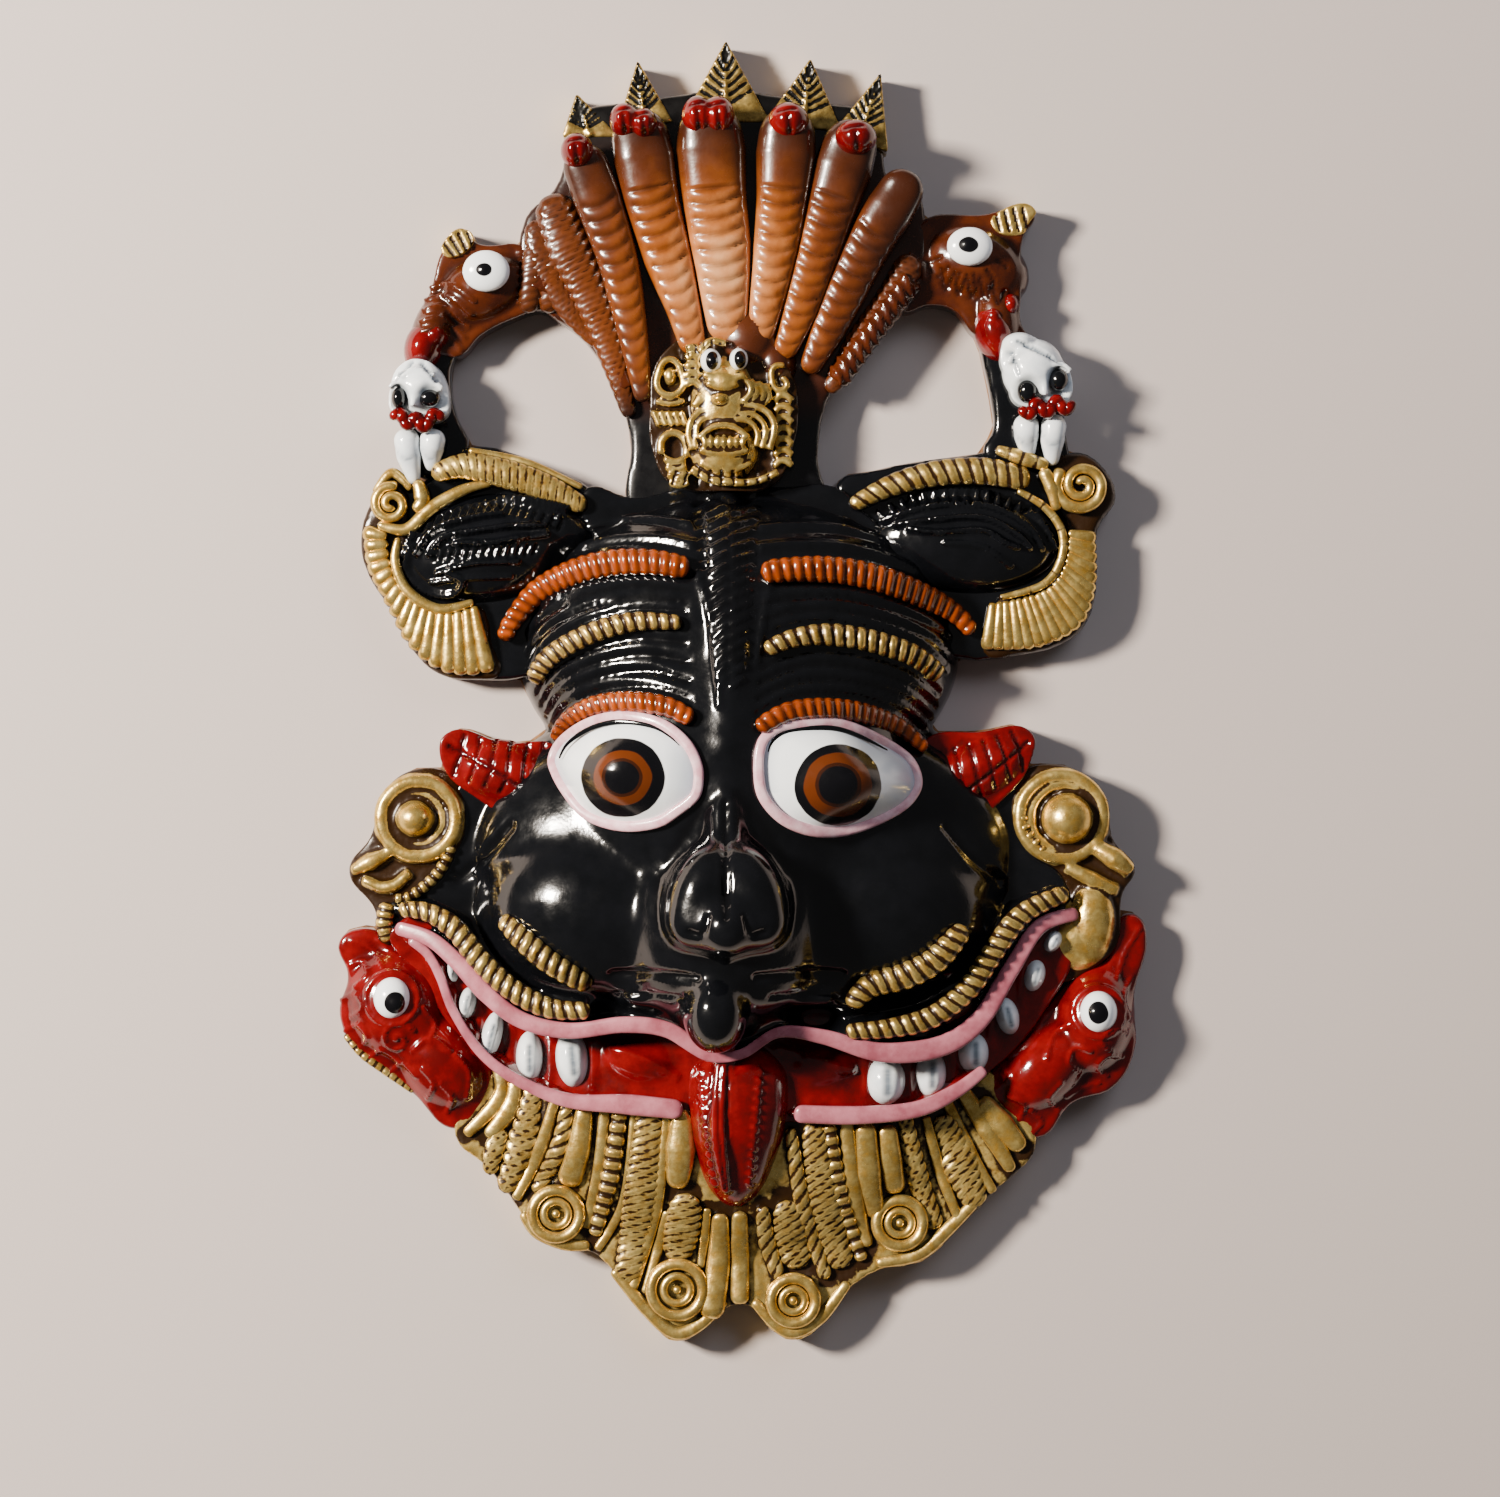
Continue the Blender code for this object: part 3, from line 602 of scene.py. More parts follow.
def brush_marks(tree, shader, place, rough, spread, mark_mm=0.9, height_mm=0.05):
    """Uneven gloss and faint brush marks: roughness and bump from two noises."""
    patch = noise(tree, place, GLOSS_PATCH_MM, detail=3.0)
    gloss = remap(tree, patch, (0.3, 0.7), (rough - spread, rough + spread))
    tree.links.new(gloss, shader.inputs["Roughness"])
    bump(tree, shader, noise(tree, place, mark_mm, detail=2.0, roughness=0.4), 0.5, height_mm)


def colour_mix(tree, share, one, other):
    """Two colours, or the sockets that carry them, mixed by a share."""
    made = add_node(tree, "ShaderNodeMix", data_type="RGBA")
    for socket, value in ((0, share), (6, one), (7, other)):
        if isinstance(value, bpy.types.NodeSocket):
            tree.links.new(value, made.inputs[socket])
        else:
            made.inputs[socket].default_value = value
    return made.outputs[2]


print("middle grey in linear light:", round(linear("#808080")[0], 3))

# %% [markdown]
# ### Gloss enamel
# Oil enamel is a smooth plastic-like film: IOR 1.5, almost no scatter at the surface, so it gives
# the eye a deep even colour with small sharp lights. It is uneven in gloss over a few millimetres.
# In the cuts and hollows, and on the lower sides of strands, its colour is painted darker as
# painted shade.

# %% Enamels
def enamel(name, light, dark, shade_in_hollows, rough=0.16, hollow_shading=0.8, patch_mm=7):
    """Brushed gloss enamel in two near tones, with a third, darker one in the cuts as painted shade."""
    paint, tree, shader, place, wash_and_shade = new_paint(name)
    cloud = noise(tree, place, patch_mm, detail=4.0, roughness=0.6)
    tone = colour_mix(tree, remap(tree, cloud, (0.35, 0.65)), linear(light), linear(dark))
    share = maths(tree, "MULTIPLY", wash_and_shade, hollow_shading)
    tree.links.new(colour_mix(tree, share, tone, linear(shade_in_hollows)), shader.inputs["Base Color"])
    shader.inputs["IOR"].default_value = 1.5
    shader.inputs["Coat Weight"].default_value = 0.4
    shader.inputs["Coat Roughness"].default_value = 0.06
    brush_marks(tree, shader, place, rough, 0.06)
    return paint


# Lamp-black gloss enamel: nearly no colour of its own, all form comes from its lights
black_enamel = enamel("black_gloss_enamel", "#060709", "#0a0b0e", "#040405", rough=0.13)
# Orange gloss enamel; its dark brown in the notches and on the lower sides is painted shade
orange_enamel = enamel("orange_gloss_enamel", "#9c4107", "#6d2a04", "#1e0902", rough=0.2, hollow_shading=1.0)
# Dark brown enamel on the serpents
brown_enamel = enamel("brown_gloss_enamel", "#4a1e08", "#341206", "#1c0803", rough=0.2)
# Blood-red enamel of the mouth, tongue, leaves and jaw heads
red_enamel = enamel("red_gloss_enamel", "#700709", "#4d0406", "#1a0001", rough=0.14)
# Pink lip enamel has white in it, so it covers well and is less deep
pink_enamel = enamel("pink_satin_enamel", "#ad6874", "#8a4753", "#4c222a", rough=0.3, hollow_shading=0.8)
# The eye rims' pink was mixed with more white and laid on thin
rim_enamel = enamel(
    "pale_pink_satin_enamel", "#dfb9c0", "#c48c98", "#7d4650", rough=0.3, hollow_shading=0.6, patch_mm=4)
# White enamel; the blue-grey in its hollows is painted shade
white_enamel = enamel("white_gloss_enamel", "#f1f5f6", "#d5dde2", "#5d6a76", rough=0.2, hollow_shading=0.95)
print("enamels:", [p.name for p in (black_enamel, orange_enamel, brown_enamel, red_enamel)])

# %% [markdown]
# ### Gold paint with a brown wash
# The gold is bronze powder in varnish: the flakes lie nearly flat, so it shines like satin metal,
# pale cream in the light. A thin brown wash was brushed on and wiped off, so that it is left in
# the cuts, where it hides the metal. The same brown on the strands' lower sides and on the flat
# ground between raised forms is painted shade.

# %% Gold paint
def gold(name, bright, deep, wash_and_shade_tone):
    """Satin gold paint; wash_and_shade_tone is the wash left in the cuts, and painted shade."""
    paint, tree, shader, place, wash_and_shade = new_paint(name)
    cloud = noise(tree, place, 3, detail=5.0, roughness=0.65)
    tone = colour_mix(tree, remap(tree, cloud, (0.35, 0.68)), linear(bright), linear(deep))
    uneven = maths(tree, "ADD", wash_and_shade, cloud)
    share = remap(tree, uneven, (0.55, 0.95))
    tree.links.new(colour_mix(tree, share, tone, linear(wash_and_shade_tone)), shader.inputs["Base Color"])
    tree.links.new(remap(tree, share, after=(0.88, 0.12)), shader.inputs["Metallic"])
    brush_marks(tree, shader, place, 0.3, 0.09, mark_mm=1.3, height_mm=0.2)
    return paint


gold_paint = gold("gold_powder_paint", "#fadb84", "#c2953a", "#261505")
# The crown's peaks got a heavy, almost black wash
crown_gold = gold("gold_paint_dark_wash", "#e6c572", "#7a5a22", "#0b0a08")
print("golds:", gold_paint.name, crown_gold.name)

# %% [markdown]
# ### Hood glaze
# The cobra fan is flesh-coloured at its heart and was glazed outwards through orange to dark brown,
# then varnished. The colour follows the place on the hood: a ramp over the distance from the
# heart, darker again towards the heads, and black where the hood meets the face.

# %% Hood glaze
HOOD_HEART = (-6, 112)
GLAZE_REACH = 80


def hood_glaze(name, stops, crown, shade_in_hollows):
    """Varnished glaze whose colour runs outwards from the hood's heart."""
    paint, tree, shader, place, wash_and_shade = new_paint(name)
    away = distance(tree, place, HOOD_HEART, (1.0, 0.8))
    share = maths(tree, "MULTIPLY", away, 1 / (GLAZE_REACH * UNIT))
    drift = remap(tree, noise(tree, place, 6, detail=4.0), (0.3, 0.7), (-0.06, 0.06))
    glazed = ramp_colour(tree, maths(tree, "ADD", share, drift), stops)
    height = add_node(tree, "ShaderNodeSeparateXYZ", {"Vector": place}).outputs["Y"]
    headwards = remap(tree, height, (132 * UNIT, 156 * UNIT))
    crowned = colour_mix(tree, headwards, glazed, linear(crown))
    footwards = remap(tree, height, (88 * UNIT, 74 * UNIT))
    footed = colour_mix(tree, footwards, crowned, linear("#08080a"))
    # Darker in the cuts, the hollows and on the strands' lower sides: painted shade.
    hollow_shade_share = maths(tree, "MULTIPLY", wash_and_shade, 0.8)
    tree.links.new(colour_mix(tree, hollow_shade_share, footed, linear(shade_in_hollows)), shader.inputs["Base Color"])
    shader.inputs["Coat Weight"].default_value = 0.5
    shader.inputs["Coat Roughness"].default_value = 0.08
    brush_marks(tree, shader, place, 0.28, 0.07)
    return paint


neck_glaze = hood_glaze("peach_to_brown_glaze", [
    (0.0, "#cd9463"), (0.13, "#ad6b38"), (0.25, "#824415"), (0.4, "#5a2a0c"), (0.6, "#341607")],
    "#2c1207", "#1e0a03")
ground_glaze = hood_glaze("dark_brown_glaze", [
    (0.0, "#4f260f"), (0.3, "#3b1807"), (0.7, "#220b04")], "#060505", "#0c0402")
band_glaze = hood_glaze("brown_scale_glaze", [
    (0.0, "#8c4a1d"), (0.35, "#65310f"), (0.7, "#46200a")], "#2e1406", "#100502")
print("glazes:", neck_glaze.name, ground_glaze.name, band_glaze.name)

# %% [markdown]
# ### Bare wood at the back
# The back was left as the gouge cut it and stained. Wood is a dull, fibrous surface: the grain runs
# the long way of the block, with rings about 3 mm apart, drawn as a stretched, distorted wave.

# %% Bare wood
def stained_wood(name):
    """Gouge-cut soft wood, stained brown, grain along Y."""
    paint, tree, shader, place, _ = new_paint(name)
    stretched = add_node(tree, "ShaderNodeMapping", {"Vector": place, "Scale": (1.0, 0.08, 1.0)})
    rings = noise(tree, stretched.outputs["Vector"], 3, detail=6.0, distortion=0.6)
    stained = ramp_colour(tree, rings, [(0.3, "#4a2f1a"), (0.5, "#7a5534"), (0.7, "#946c45")])
    tree.links.new(stained, shader.inputs["Base Color"])
    shader.inputs["IOR"].default_value = 1.45
    bump(tree, shader, rings, 0.6, 0.3)
    tree.links.new(remap(tree, rings, after=(0.6, 0.8)), shader.inputs["Roughness"])
    return paint


bare_wood = stained_wood("stained_gouged_wood")
print("wood:", bare_wood.name)

# %% [markdown]
# ### Painted eyes
# Each eye is painted in rings from the pupil outwards with a round brush. The rings follow the
# distance from the pupil's middle, with a little noise for the hand's wobble.

# %% Eye paint
def eye_paint(name, centre, bands, stretch=(1.0, 1.0), shade=None):
    """Rings round a centre: (outer radius, hex colour); shade: painted shade in grey, from one X to another.
    """
    paint, tree, shader, place, wash_and_shade = new_paint(name)
    away = distance(tree, place, centre, (1 / stretch[0], 1 / stretch[1]))
    wobble = remap(tree, noise(tree, place, 7, detail=2.0), after=(-0.5 * UNIT, 0.5 * UNIT))
    outermost = bands[-1][0]
    share = maths(tree, "MULTIPLY", maths(tree, "ADD", away, wobble), 1 / (outermost * UNIT))
    blur = 0.1 / outermost
    stops = [(0.0, bands[0][1])]
    for (radius, colour), (_, following) in zip(bands, bands[1:]):
        stops += [(radius / outermost - blur, colour), (radius / outermost + blur, following)]
    tone = ramp_colour(tree, share, stops)
    # Painted shade: grey towards the side away from the key light and under the lid, beyond the dark ring.
    if shade:
        near, far, colour = shade
        sideways = add_node(tree, "ShaderNodeSeparateXYZ", {"Vector": place}).outputs["X"]
        inside = remap(tree, sideways, (near * UNIT, far * UNIT), (0, 0.75))
        beyond = maths(tree, "GREATER_THAN", share, (bands[-2][0] + 0.8) / outermost)
        lid_and_side_shade = maths(tree, "MAXIMUM", inside, wash_and_shade)
        tone = colour_mix(tree, maths(tree, "MULTIPLY", lid_and_side_shade, beyond), tone, linear(colour))
    tree.links.new(tone, shader.inputs["Base Color"])
    shader.inputs["Coat Weight"].default_value = 0.4
    shader.inputs["Coat Roughness"].default_value = 0.12
    brush_marks(tree, shader, place, 0.2, 0.05)
    return paint


# %% [markdown]
# ## The hood
# Nine forms fan out from above the small lion face: five crowned cobras, two shorter necks at the
# sides and two bands of scales. The ground behind them is a flat slab, darker than they are.

# %% Hood ground
HOOD = [
    (-30, 50), (-31, 70), (-34, 81), (-44, 98), (-56, 107), (-61, 116), (-60, 132), (-52, 140),
    (-49, 148), (-46, 160), (-29, 164), (-4, 167), (19, 164), (36, 160), (39, 150), (41, 142),
    (48, 140), (51, 130), (50, 116), (40, 103), (25, 84), (21, 66), (22, 50),
]
clay = bmesh.new()
slab(clay, HOOD, GROUND + 0.3)
hood_ground = fuse("hood_ground", clay, [below], grain=1.5)
wash_and_shade_hollows(hood_ground)
keep(hood_ground, ground_glaze)

# %% [markdown]
# Each cobra is one strand from its foot to its blunt head, leaning forward as it rises. Belly scales
# are cuts that sag towards the foot, about 4 mm apart. They stay off the strand's sides, which
# are left smooth, and end where the head begins.

# %% Cobras
COBRAS = [
    ([(-27, 80), (-29, 92), (-31.5, 106), (-34.5, 120), (-39.5, 135), (-45, 150)],
     [2.4, 3.8, 5.0, 5.8, 6.6, 6.2], 52, 17.5),
    ([(-13, 93), (-16, 105), (-20.5, 120), (-25, 136), (-27.5, 150), (-29.5, 160)],
     [3.4, 4.9, 6.8, 7.6, 8.6, 7.2], 42, 19),
    ([(-3.5, 96), (-4.5, 106), (-5.6, 120), (-7.6, 136), (-8.6, 150), (-9.2, 162)],
     [5.0, 6.9, 8.5, 8.9, 9.7, 8.0], 38, 20),
    ([(4.5, 96), (6.5, 106), (9, 120), (11, 136), (12.2, 150), (12.8, 160.5)],
     [3.4, 5.0, 6.3, 7.0, 8.3, 7.2], 38, 19.5),
    ([(11, 92), (15.5, 104), (20.5, 120), (25, 135), (29, 148), (31.5, 157)],
     [3.0, 5.0, 5.9, 6.8, 8.2, 7.0], 42, 18.5),
    ([(18, 88), (25, 103), (32.5, 119), (37.5, 128), (43, 136.5), (46.5, 143)],
     [2.6, 4.8, 5.9, 6.4, 6.9, 5.8], 40, 17.5),
]


def belly_scales(neck_long):
    """Sagging cuts on the middle of a strand, as far as the neck is long."""
    bars = notches(4.2, bow=-2.8, lobe=0.42)

    def cut(along, across):
        return bars(along, across) * (np.abs(across) < 0.8) * (along < neck_long)
    return cut


clay = bmesh.new()
for line, widths, neck_long, low in COBRAS:
    crests = np.linspace(low, low + 8, len(line))
    points = [(x, y, crest - half * 0.85) for (x, y), half, crest in zip(line, widths, crests)]
    strand(clay, points, widths, tall=0.85, cut=belly_scales(neck_long + 5), depth=0.24,
           around=28, step=0.55, square=0.8)
cobras = to_piece("cobras", clay)
keep(cobras, neck_glaze)

# %% [markdown]
# Two bands of overlapping scales close the fan at its sides. Their cuts meet in a V on the band's
# middle, like the barbs of a feather.

# %% Scale bands
barbs = notches(3.1, vee=-5.0, lobe=0.45)
clay = bmesh.new()
for line, widths in (
        ([(-31, 76), (-36, 94), (-42, 110), (-49, 125), (-53, 138)], [2.0, 4.0, 5.6, 7.0, 5.6]),
        ([(-40, 96), (-48, 106), (-55, 119), (-57, 131)], [1.6, 3.4, 4.6, 3.6]),
        ([(24, 83), (32, 96), (41, 108), (47.5, 121)], [2.2, 4.2, 4.8, 4.0])):
    points = [(x, y, 12.5) for x, y in line]
    strand(clay, points, widths, tall=0.75, cut=barbs, depth=0.35, around=24, step=0.5, square=0.85)
for shift in (0.0, 5.6):
    collar = [(-51.5 - shift, 124, 13), (-52.5 - shift, 115, 13), (-54 - shift, 105, 11.5)]
    strand(clay, collar, [3.4, 3.6, 2.8], tall=0.75, cut=notches(2.3, slant=1.4, lobe=0.4), depth=0.35)
scale_bands = to_piece("scale_bands", clay)
keep(scale_bands, band_glaze)

# %% [markdown]
# The mouths are red knobs at the heads' tips, each with a dent or two where the lips part.

# %% Cobra mouths
MOUTHS = [
    (-45.2, 148.2, 4.6, 5.0), (-32.2, 156.6, 4.2, 4.8), (-26.8, 155.6, 3.8, 4.4), (-12.0, 157.8, 4.6, 5.6),
    (-6.4, 157.8, 4.6, 5.6), (12.8, 156.4, 5.8, 5.2), (31.2, 151.8, 5.9, 5.1),
]
clay = bmesh.new()
for mx, my, rx, ry in MOUTHS:
    ball(clay, (mx, my, GROUND + 11.5), (rx, ry, 7.5), sides=24)
mouths = fuse("cobra_mouths", clay, [below], grain=0.65)
dents = []
for mx, my, rx, ry in MOUTHS:
    dents.append(([(mx + 0.4, my - ry * 0.7), (mx - 0.2, my + ry * 0.1)], 1.2, 0.9))
    dents.append(([(mx - rx * 0.5, my + ry * 0.35), (mx + rx * 0.3, my + ry * 0.5)], 0.9, 0.6))
incise(mouths, dents)
wash_and_shade_hollows(mouths, full=0.3)
keep(mouths, red_enamel)

# %% [markdown]
# ## The crown's peaks
# Five flat peaks stand behind the heads, like leaves with a midrib and slanting veins. Each is a
# slab with straight sides, and the veins are gouge lines.

# %% Crown peaks
PEAK_TOP = GROUND + 0.9
PEAKS = [
    ((-50, 154), (-46, 166.3), (-34, 154)),
    ((-35, 156), (-29, 175.5), (-19, 158)),
    ((-17, 158), (-4.5, 180.9), (8, 158)),
    ((6, 158), (19, 176), (28, 155)),
    ((24, 154), (38.5, 172), (40.5, 150)),
]
clay = bmesh.new()
veins = []
for left, tip, right in PEAKS:
    slab(clay, (left, tip, right), PEAK_TOP, smooth=False)
    foot = between(left, right, 0.5)
    rope(clay, [(*foot, PEAK_TOP), (*between(foot, tip, 0.85), PEAK_TOP - 1.5)], 1.6, ends=0.6)
    for step in range(2, 9):
        spine = between(foot, tip, step / 10)
        for side in (left, right):
            edge = between(side, tip, min(0.97, step / 10 + 0.2))
            veins.append(([between(spine, edge, 0.2), between(spine, edge, 0.92)], 0.85, 1.1))
peaks = fuse("crown_peaks", clay, [below], grain=0.55, rounds=2)
incise(peaks, veins)
wash_and_shade_hollows(peaks, full=0.3)
keep(peaks, crown_gold)

# %% [markdown]
# ## The small lion face at the hood's foot
# A gold lion face looks out of the fan, with rolled curls down both sides. It is fused from balls
# and ropes, cut with many short lines, and its eyes are painted balls.

# %% Lion face
LION_GROUND = [
    (-20, 58), (-24.5, 66), (-25.5, 78), (-24, 90), (-18, 97), (-9, 101.5), (0, 98), (8, 93),
    (13.5, 88), (15.5, 77), (13.5, 66), (9, 57.5), (-5, 55.5),
]
LION_EYES = [((-8.6, 91.0), (2.9, 3.4)), ((-0.9, 91.4), (2.6, 3.1))]
TOP = GROUND + 6
LION_ROPES = [
    (5.0, 1.1, [(-11.6, 93.4), (-8.8, 96.2), (-4.4, 95.8)]),
    (6.0, 1.0, [(-10.5, 87.2), (-5, 85.6), (1, 87)]),
    (6.4, 0.9, [(-9.5, 84.8), (-5.5, 83.4), (-1.5, 84.6)]),
    (6.2, 0.9, [(-11.8, 69.6), (-8.6, 72.2), (-5, 73), (-1.4, 72.2), (1.9, 69.6)]),
    (5.8, 0.8, [(-11.6, 66.2), (-5, 65.2), (1.8, 66.2)]),
    (3.4, 1.1, [(-14, 61.2), (-9, 58.4), (-3, 57.6), (4, 58), (10, 60.4)]),
    (4.6, 1.0, [(-2, 78), (4, 78.4), (8.6, 74.4), (7.6, 66.5)]),
    (5.0, 0.8, [(-2, 76.2), (3, 76.2), (6.3, 72.8), (5.6, 66.8)]),
    (5.2, 0.8, [(-2.4, 74.6), (1.6, 74.4), (4.1, 71.5), (3.8, 67.4)]),
    (4.4, 1.0, [(-8, 77.8), (-12, 76.8), (-14.6, 72), (-13.6, 66.5)]),
    (4.8, 0.8, [(-8.4, 75.8), (-11.4, 74.4), (-12.6, 71), (-12.6, 67)]),
    (2.4, 1.1, [(-22.4, 65.5), (-21.6, 70), (-18, 71.2), (-15.6, 69), (-15.2, 64.5)]),
    (2.2, 0.9, [(-23.6, 80), (-19.5, 79.4), (-15.8, 80.2)]),
    (2.2, 0.9, [(11.8, 90), (8.9, 89.6), (8.2, 86), (9.8, 83.2), (12.4, 84.4), (11.2, 86.8)]),
]
for step in range(4):
    LION_ROPES.append((5.4 - step * 0.7, 0.75, [
        (0.6 + step * 1.9, 86.4 - step * 0.5), (2.4 + step * 1.7, 83 - step * 0.7),
        (0.4 + step * 1.5, 79.6 - step * 0.4)]))
    drop = step * 2.1
    LION_ROPES.append((3.0, 1.1, [
        (-21.4 + step * 0.5, 64.2 - drop), (-18.4 + step * 0.4, 63.2 - drop),
        (-15.6 + step * 0.3, 64.2 - drop)]))
for step in range(5):
    drop = step * 2.4
    LION_ROPES.append((3.4, 1.05, [(-15.4, 94.2 - drop), (-13.4, 95 - drop), (-11.6, 94 - drop)]))
    LION_ROPES.append((1.8, 0.8, [(-24.4 + step * 1.9, 77.4), (-22.8 + step * 1.9, 73.4)]))
for step in range(3):
    LION_ROPES.append((4.6, 0.8, [
        (-8.4 - step * 1.5, 83.4 - step * 1.0), (-11.4 - step * 0.9, 79.6 - step * 0.6)]))
for step in range(7):
    drop = step * 3
    LION_ROPES.append((2.0, 0.95, [(8.8, 80.2 - drop), (11.2, 81.8 - drop), (14, 80.4 - drop)]))
    LION_ROPES.append((4.4, 0.6, [
        (-6.6 + step * 0.7, 60.4), (-11.7 + step * 2.4, 64.6 - abs(step - 3) * 0.6)]))

clay = bmesh.new()
slab(clay, LION_GROUND, TOP)
ball(clay, (-5, 79, TOP - 1), (9.5, 14, 6.5))
ball(clay, (-5, 85, TOP + 1.5), (6, 4.5, 5))
ball(clay, (-6, 80.4, TOP + 4.2), (2.5, 1.7, 2.8))
ball(clay, (-5, 66, TOP - 1.5), (10, 8.5, 7))
ball(clay, (-19.8, 87, TOP), (1.8, 2.6, 2.8))
EAR_LOOP = [(-22.9, 88), (-19.8, 91.6), (-16.7, 88), (-17.2, 82.6), (-22.4, 82.6)]
rope(clay, [(x, y, TOP + 1.8) for x, y in EAR_LOOP], 1.0, closed=True)
for lift, half, line in LION_ROPES:
    rope(clay, [(x, y, TOP + lift - 1) for x, y in line], half)
for step in range(7):
    ball(clay, (-10.2 + step * 1.75, 68.5, TOP + 4.9), (0.8, 2.0, 1.7), sides=10)
lion = fuse("lion_face", clay, [below], grain=0.5, rounds=1)
hairs = []
for step in range(9):
    x = -18 + step * 3.1
    hairs.append(([(x, 60.5), (x + (x + 5) * 0.1, 57)], 0.7, 0.7))
    drop = abs(step - 3)
    hairs.append(([(-18 + step * 2.4, 97.5 - drop), (-17 + step * 2.2, 94.5 - drop)], 0.6, 0.5))
incise(lion, hairs)
wash_and_shade_hollows(lion, full=0.14, passes=8)
# The flat ground round the raised forms is darkened, as wash and painted shade.
wash_and_shade_below(lion, TOP + 0.7)
keep(lion, gold_paint)

# %% [markdown]
# The small eyes of the lion, the serpents and the jaw heads are all painted balls, with the iris or
# pupil a little raised, as a drop of thick paint stands. The tuft over the lion's brow is brown.

# %% Painted balls for eyes, and the brown tuft
def painted_eye(name, centre, radii, seat, paint, iris, grain=0.45):
    """An eyeball with a raised iris, given as its middle, radius and rise."""
    clay = bmesh.new()
    cx, cy = centre
    ball(clay, (cx, cy, seat), radii, sides=40)
    (ix, iy), (ir, rise) = iris
    inside = 1 - ((ix - cx) / radii[0]) ** 2 - ((iy - cy) / radii[1]) ** 2
    top = seat + radii[2] * math.sqrt(max(0.1, inside))
    ball(clay, (ix, iy, top - 2), (ir, ir, 2 + rise), sides=32)
    keep(fuse(name, clay, [below], grain=grain, rounds=6), paint)


BLACK_RING = "#07070a"
SMALL_EYE_WHITE = "#eef2f4"
for side, ((ex, ey), (rx, ry)) in zip(("left", "right"), LION_EYES):
    name = f"lion_{side}_eye"
    pupil = (ex + 0.4, ey - 0.2)
    paint = eye_paint(f"{name}_paint", pupil, [(2.1, BLACK_RING), (6, SMALL_EYE_WHITE)], stretch=(0.8, 1.15))
    painted_eye(name, (ex, ey), (rx, ry, 4), TOP + 3, paint, iris=(pupil, (1.8, 0.5)), grain=0.35)

clay = bmesh.new()
ball(clay, (1.5, 98, GROUND - 2), (10.5, 10.5, 11.5))
ball(clay, (9, 91, GROUND - 2), (6.5, 8, 9.5))
tuft = fuse("lion_tuft", clay, [below])
keep(tuft, ground_glaze)

# %% [markdown]
# ## Side serpents, skulls and fangs
# A serpent leans out from either side of the hood and bites on a white skull, whose fangs hang down
# to the ear. The neck is cut with short curved bands.

# %% Serpents
LEFT_SERPENT = [
    (-50, 104), (-56, 106), (-63, 104), (-72, 99.5), (-80, 93), (-81, 85), (-79.5, 77), (-76, 68.5),
    (-80, 61), (-90, 60), (-94, 74), (-93, 90), (-89, 101), (-86, 113), (-83, 123), (-78, 128),
    (-73, 124.5), (-62, 124.5), (-50, 120),
]
RIGHT_SERPENT = [
    (44, 106), (52, 107.5), (59, 106), (65, 99), (67.5, 90), (69.5, 80), (70, 73), (67, 67),
    (72, 60), (90, 60), (90, 72), (88, 86), (84, 95), (78, 101), (77.5, 112), (78, 126),
    (81, 133), (66, 132.5), (50, 131), (42, 118),
]
LOW = GROUND * 0.5
clay = bmesh.new()
slab(clay, LEFT_SERPENT, GROUND * 0.9)
slab(clay, RIGHT_SERPENT, GROUND * 0.9)
backing = fuse("serpent_backing", clay, [below], grain=1.5)
keep(backing, black_enamel)

clay = bmesh.new()
slab(clay, [(x, y) for x, y in LEFT_SERPENT if y > 92.5], GROUND)
slab(clay, [(x, y) for x, y in RIGHT_SERPENT if y > 94], GROUND)
ball(clay, (-72, 112, LOW), (15, 10, 11), turn=25)
ball(clay, (-86, 101, LOW), (6, 12, 10), turn=-20)
ball(clay, (65, 119, LOW), (16, 11, 11), turn=-25)
ball(clay, (71, 104, LOW), (6.5, 11, 10), turn=15)
rope(clay, [(-58, 114, GROUND), (-46, 110, GROUND), (-38, 98, GROUND), (-32, 84, GROUND)], 4)
rope(clay, [(26, 86, GROUND + 2), (36, 100, GROUND + 2), (46, 114, GROUND + 2)], 3.6)
serpents = fuse("serpents", clay, [below], grain=0.7)
bands = []
for step in range(5):
    y = 113 - step * 3.2
    bands.append(([(-87 - step * 0.6, y - 1), (-81 - step * 0.6, y), (-74 - step, y - 5)], 1.0, -0.9))
for step in range(7):
    y = 122 - step * 2.3
    bands.append(([(-62, y), (-57, y - 0.5), (-52.5, y - 2.5)], 0.8, -0.9))
for step in range(13):
    x, y = between((26, 88), (49, 119), step / 12)
    bands.append(([(x - 2.4, y + 2.6), (x + 0.4, y), (x + 1.6, y - 4.4)], 0.85, -1.0))
for step in range(5):
    x = 55 + step * 3.6
    bands.append(([(x, 117 - step), (x + 1.5, 111.5 - step), (x + 3.2, 115 - step)], 0.8, 0.8))
for step in range(6):
    turn = math.radians(200 + step * 26)
    cx, cy = 62.8 + 8.5 * math.cos(turn), 122.8 + 7.5 * math.sin(turn)
    bands.append(([(cx, cy), (62.8 + 12 * math.cos(turn), 122.8 + 10.5 * math.sin(turn))], 0.8, 0.7))
incise(serpents, bands)
wash_and_shade_hollows(serpents, full=0.35)
keep(serpents, brown_enamel)

# %% [markdown]
# The serpents' eyes are white balls with a black dot. Their mouths are red, and the tip over each
# brow is a small gold comb.

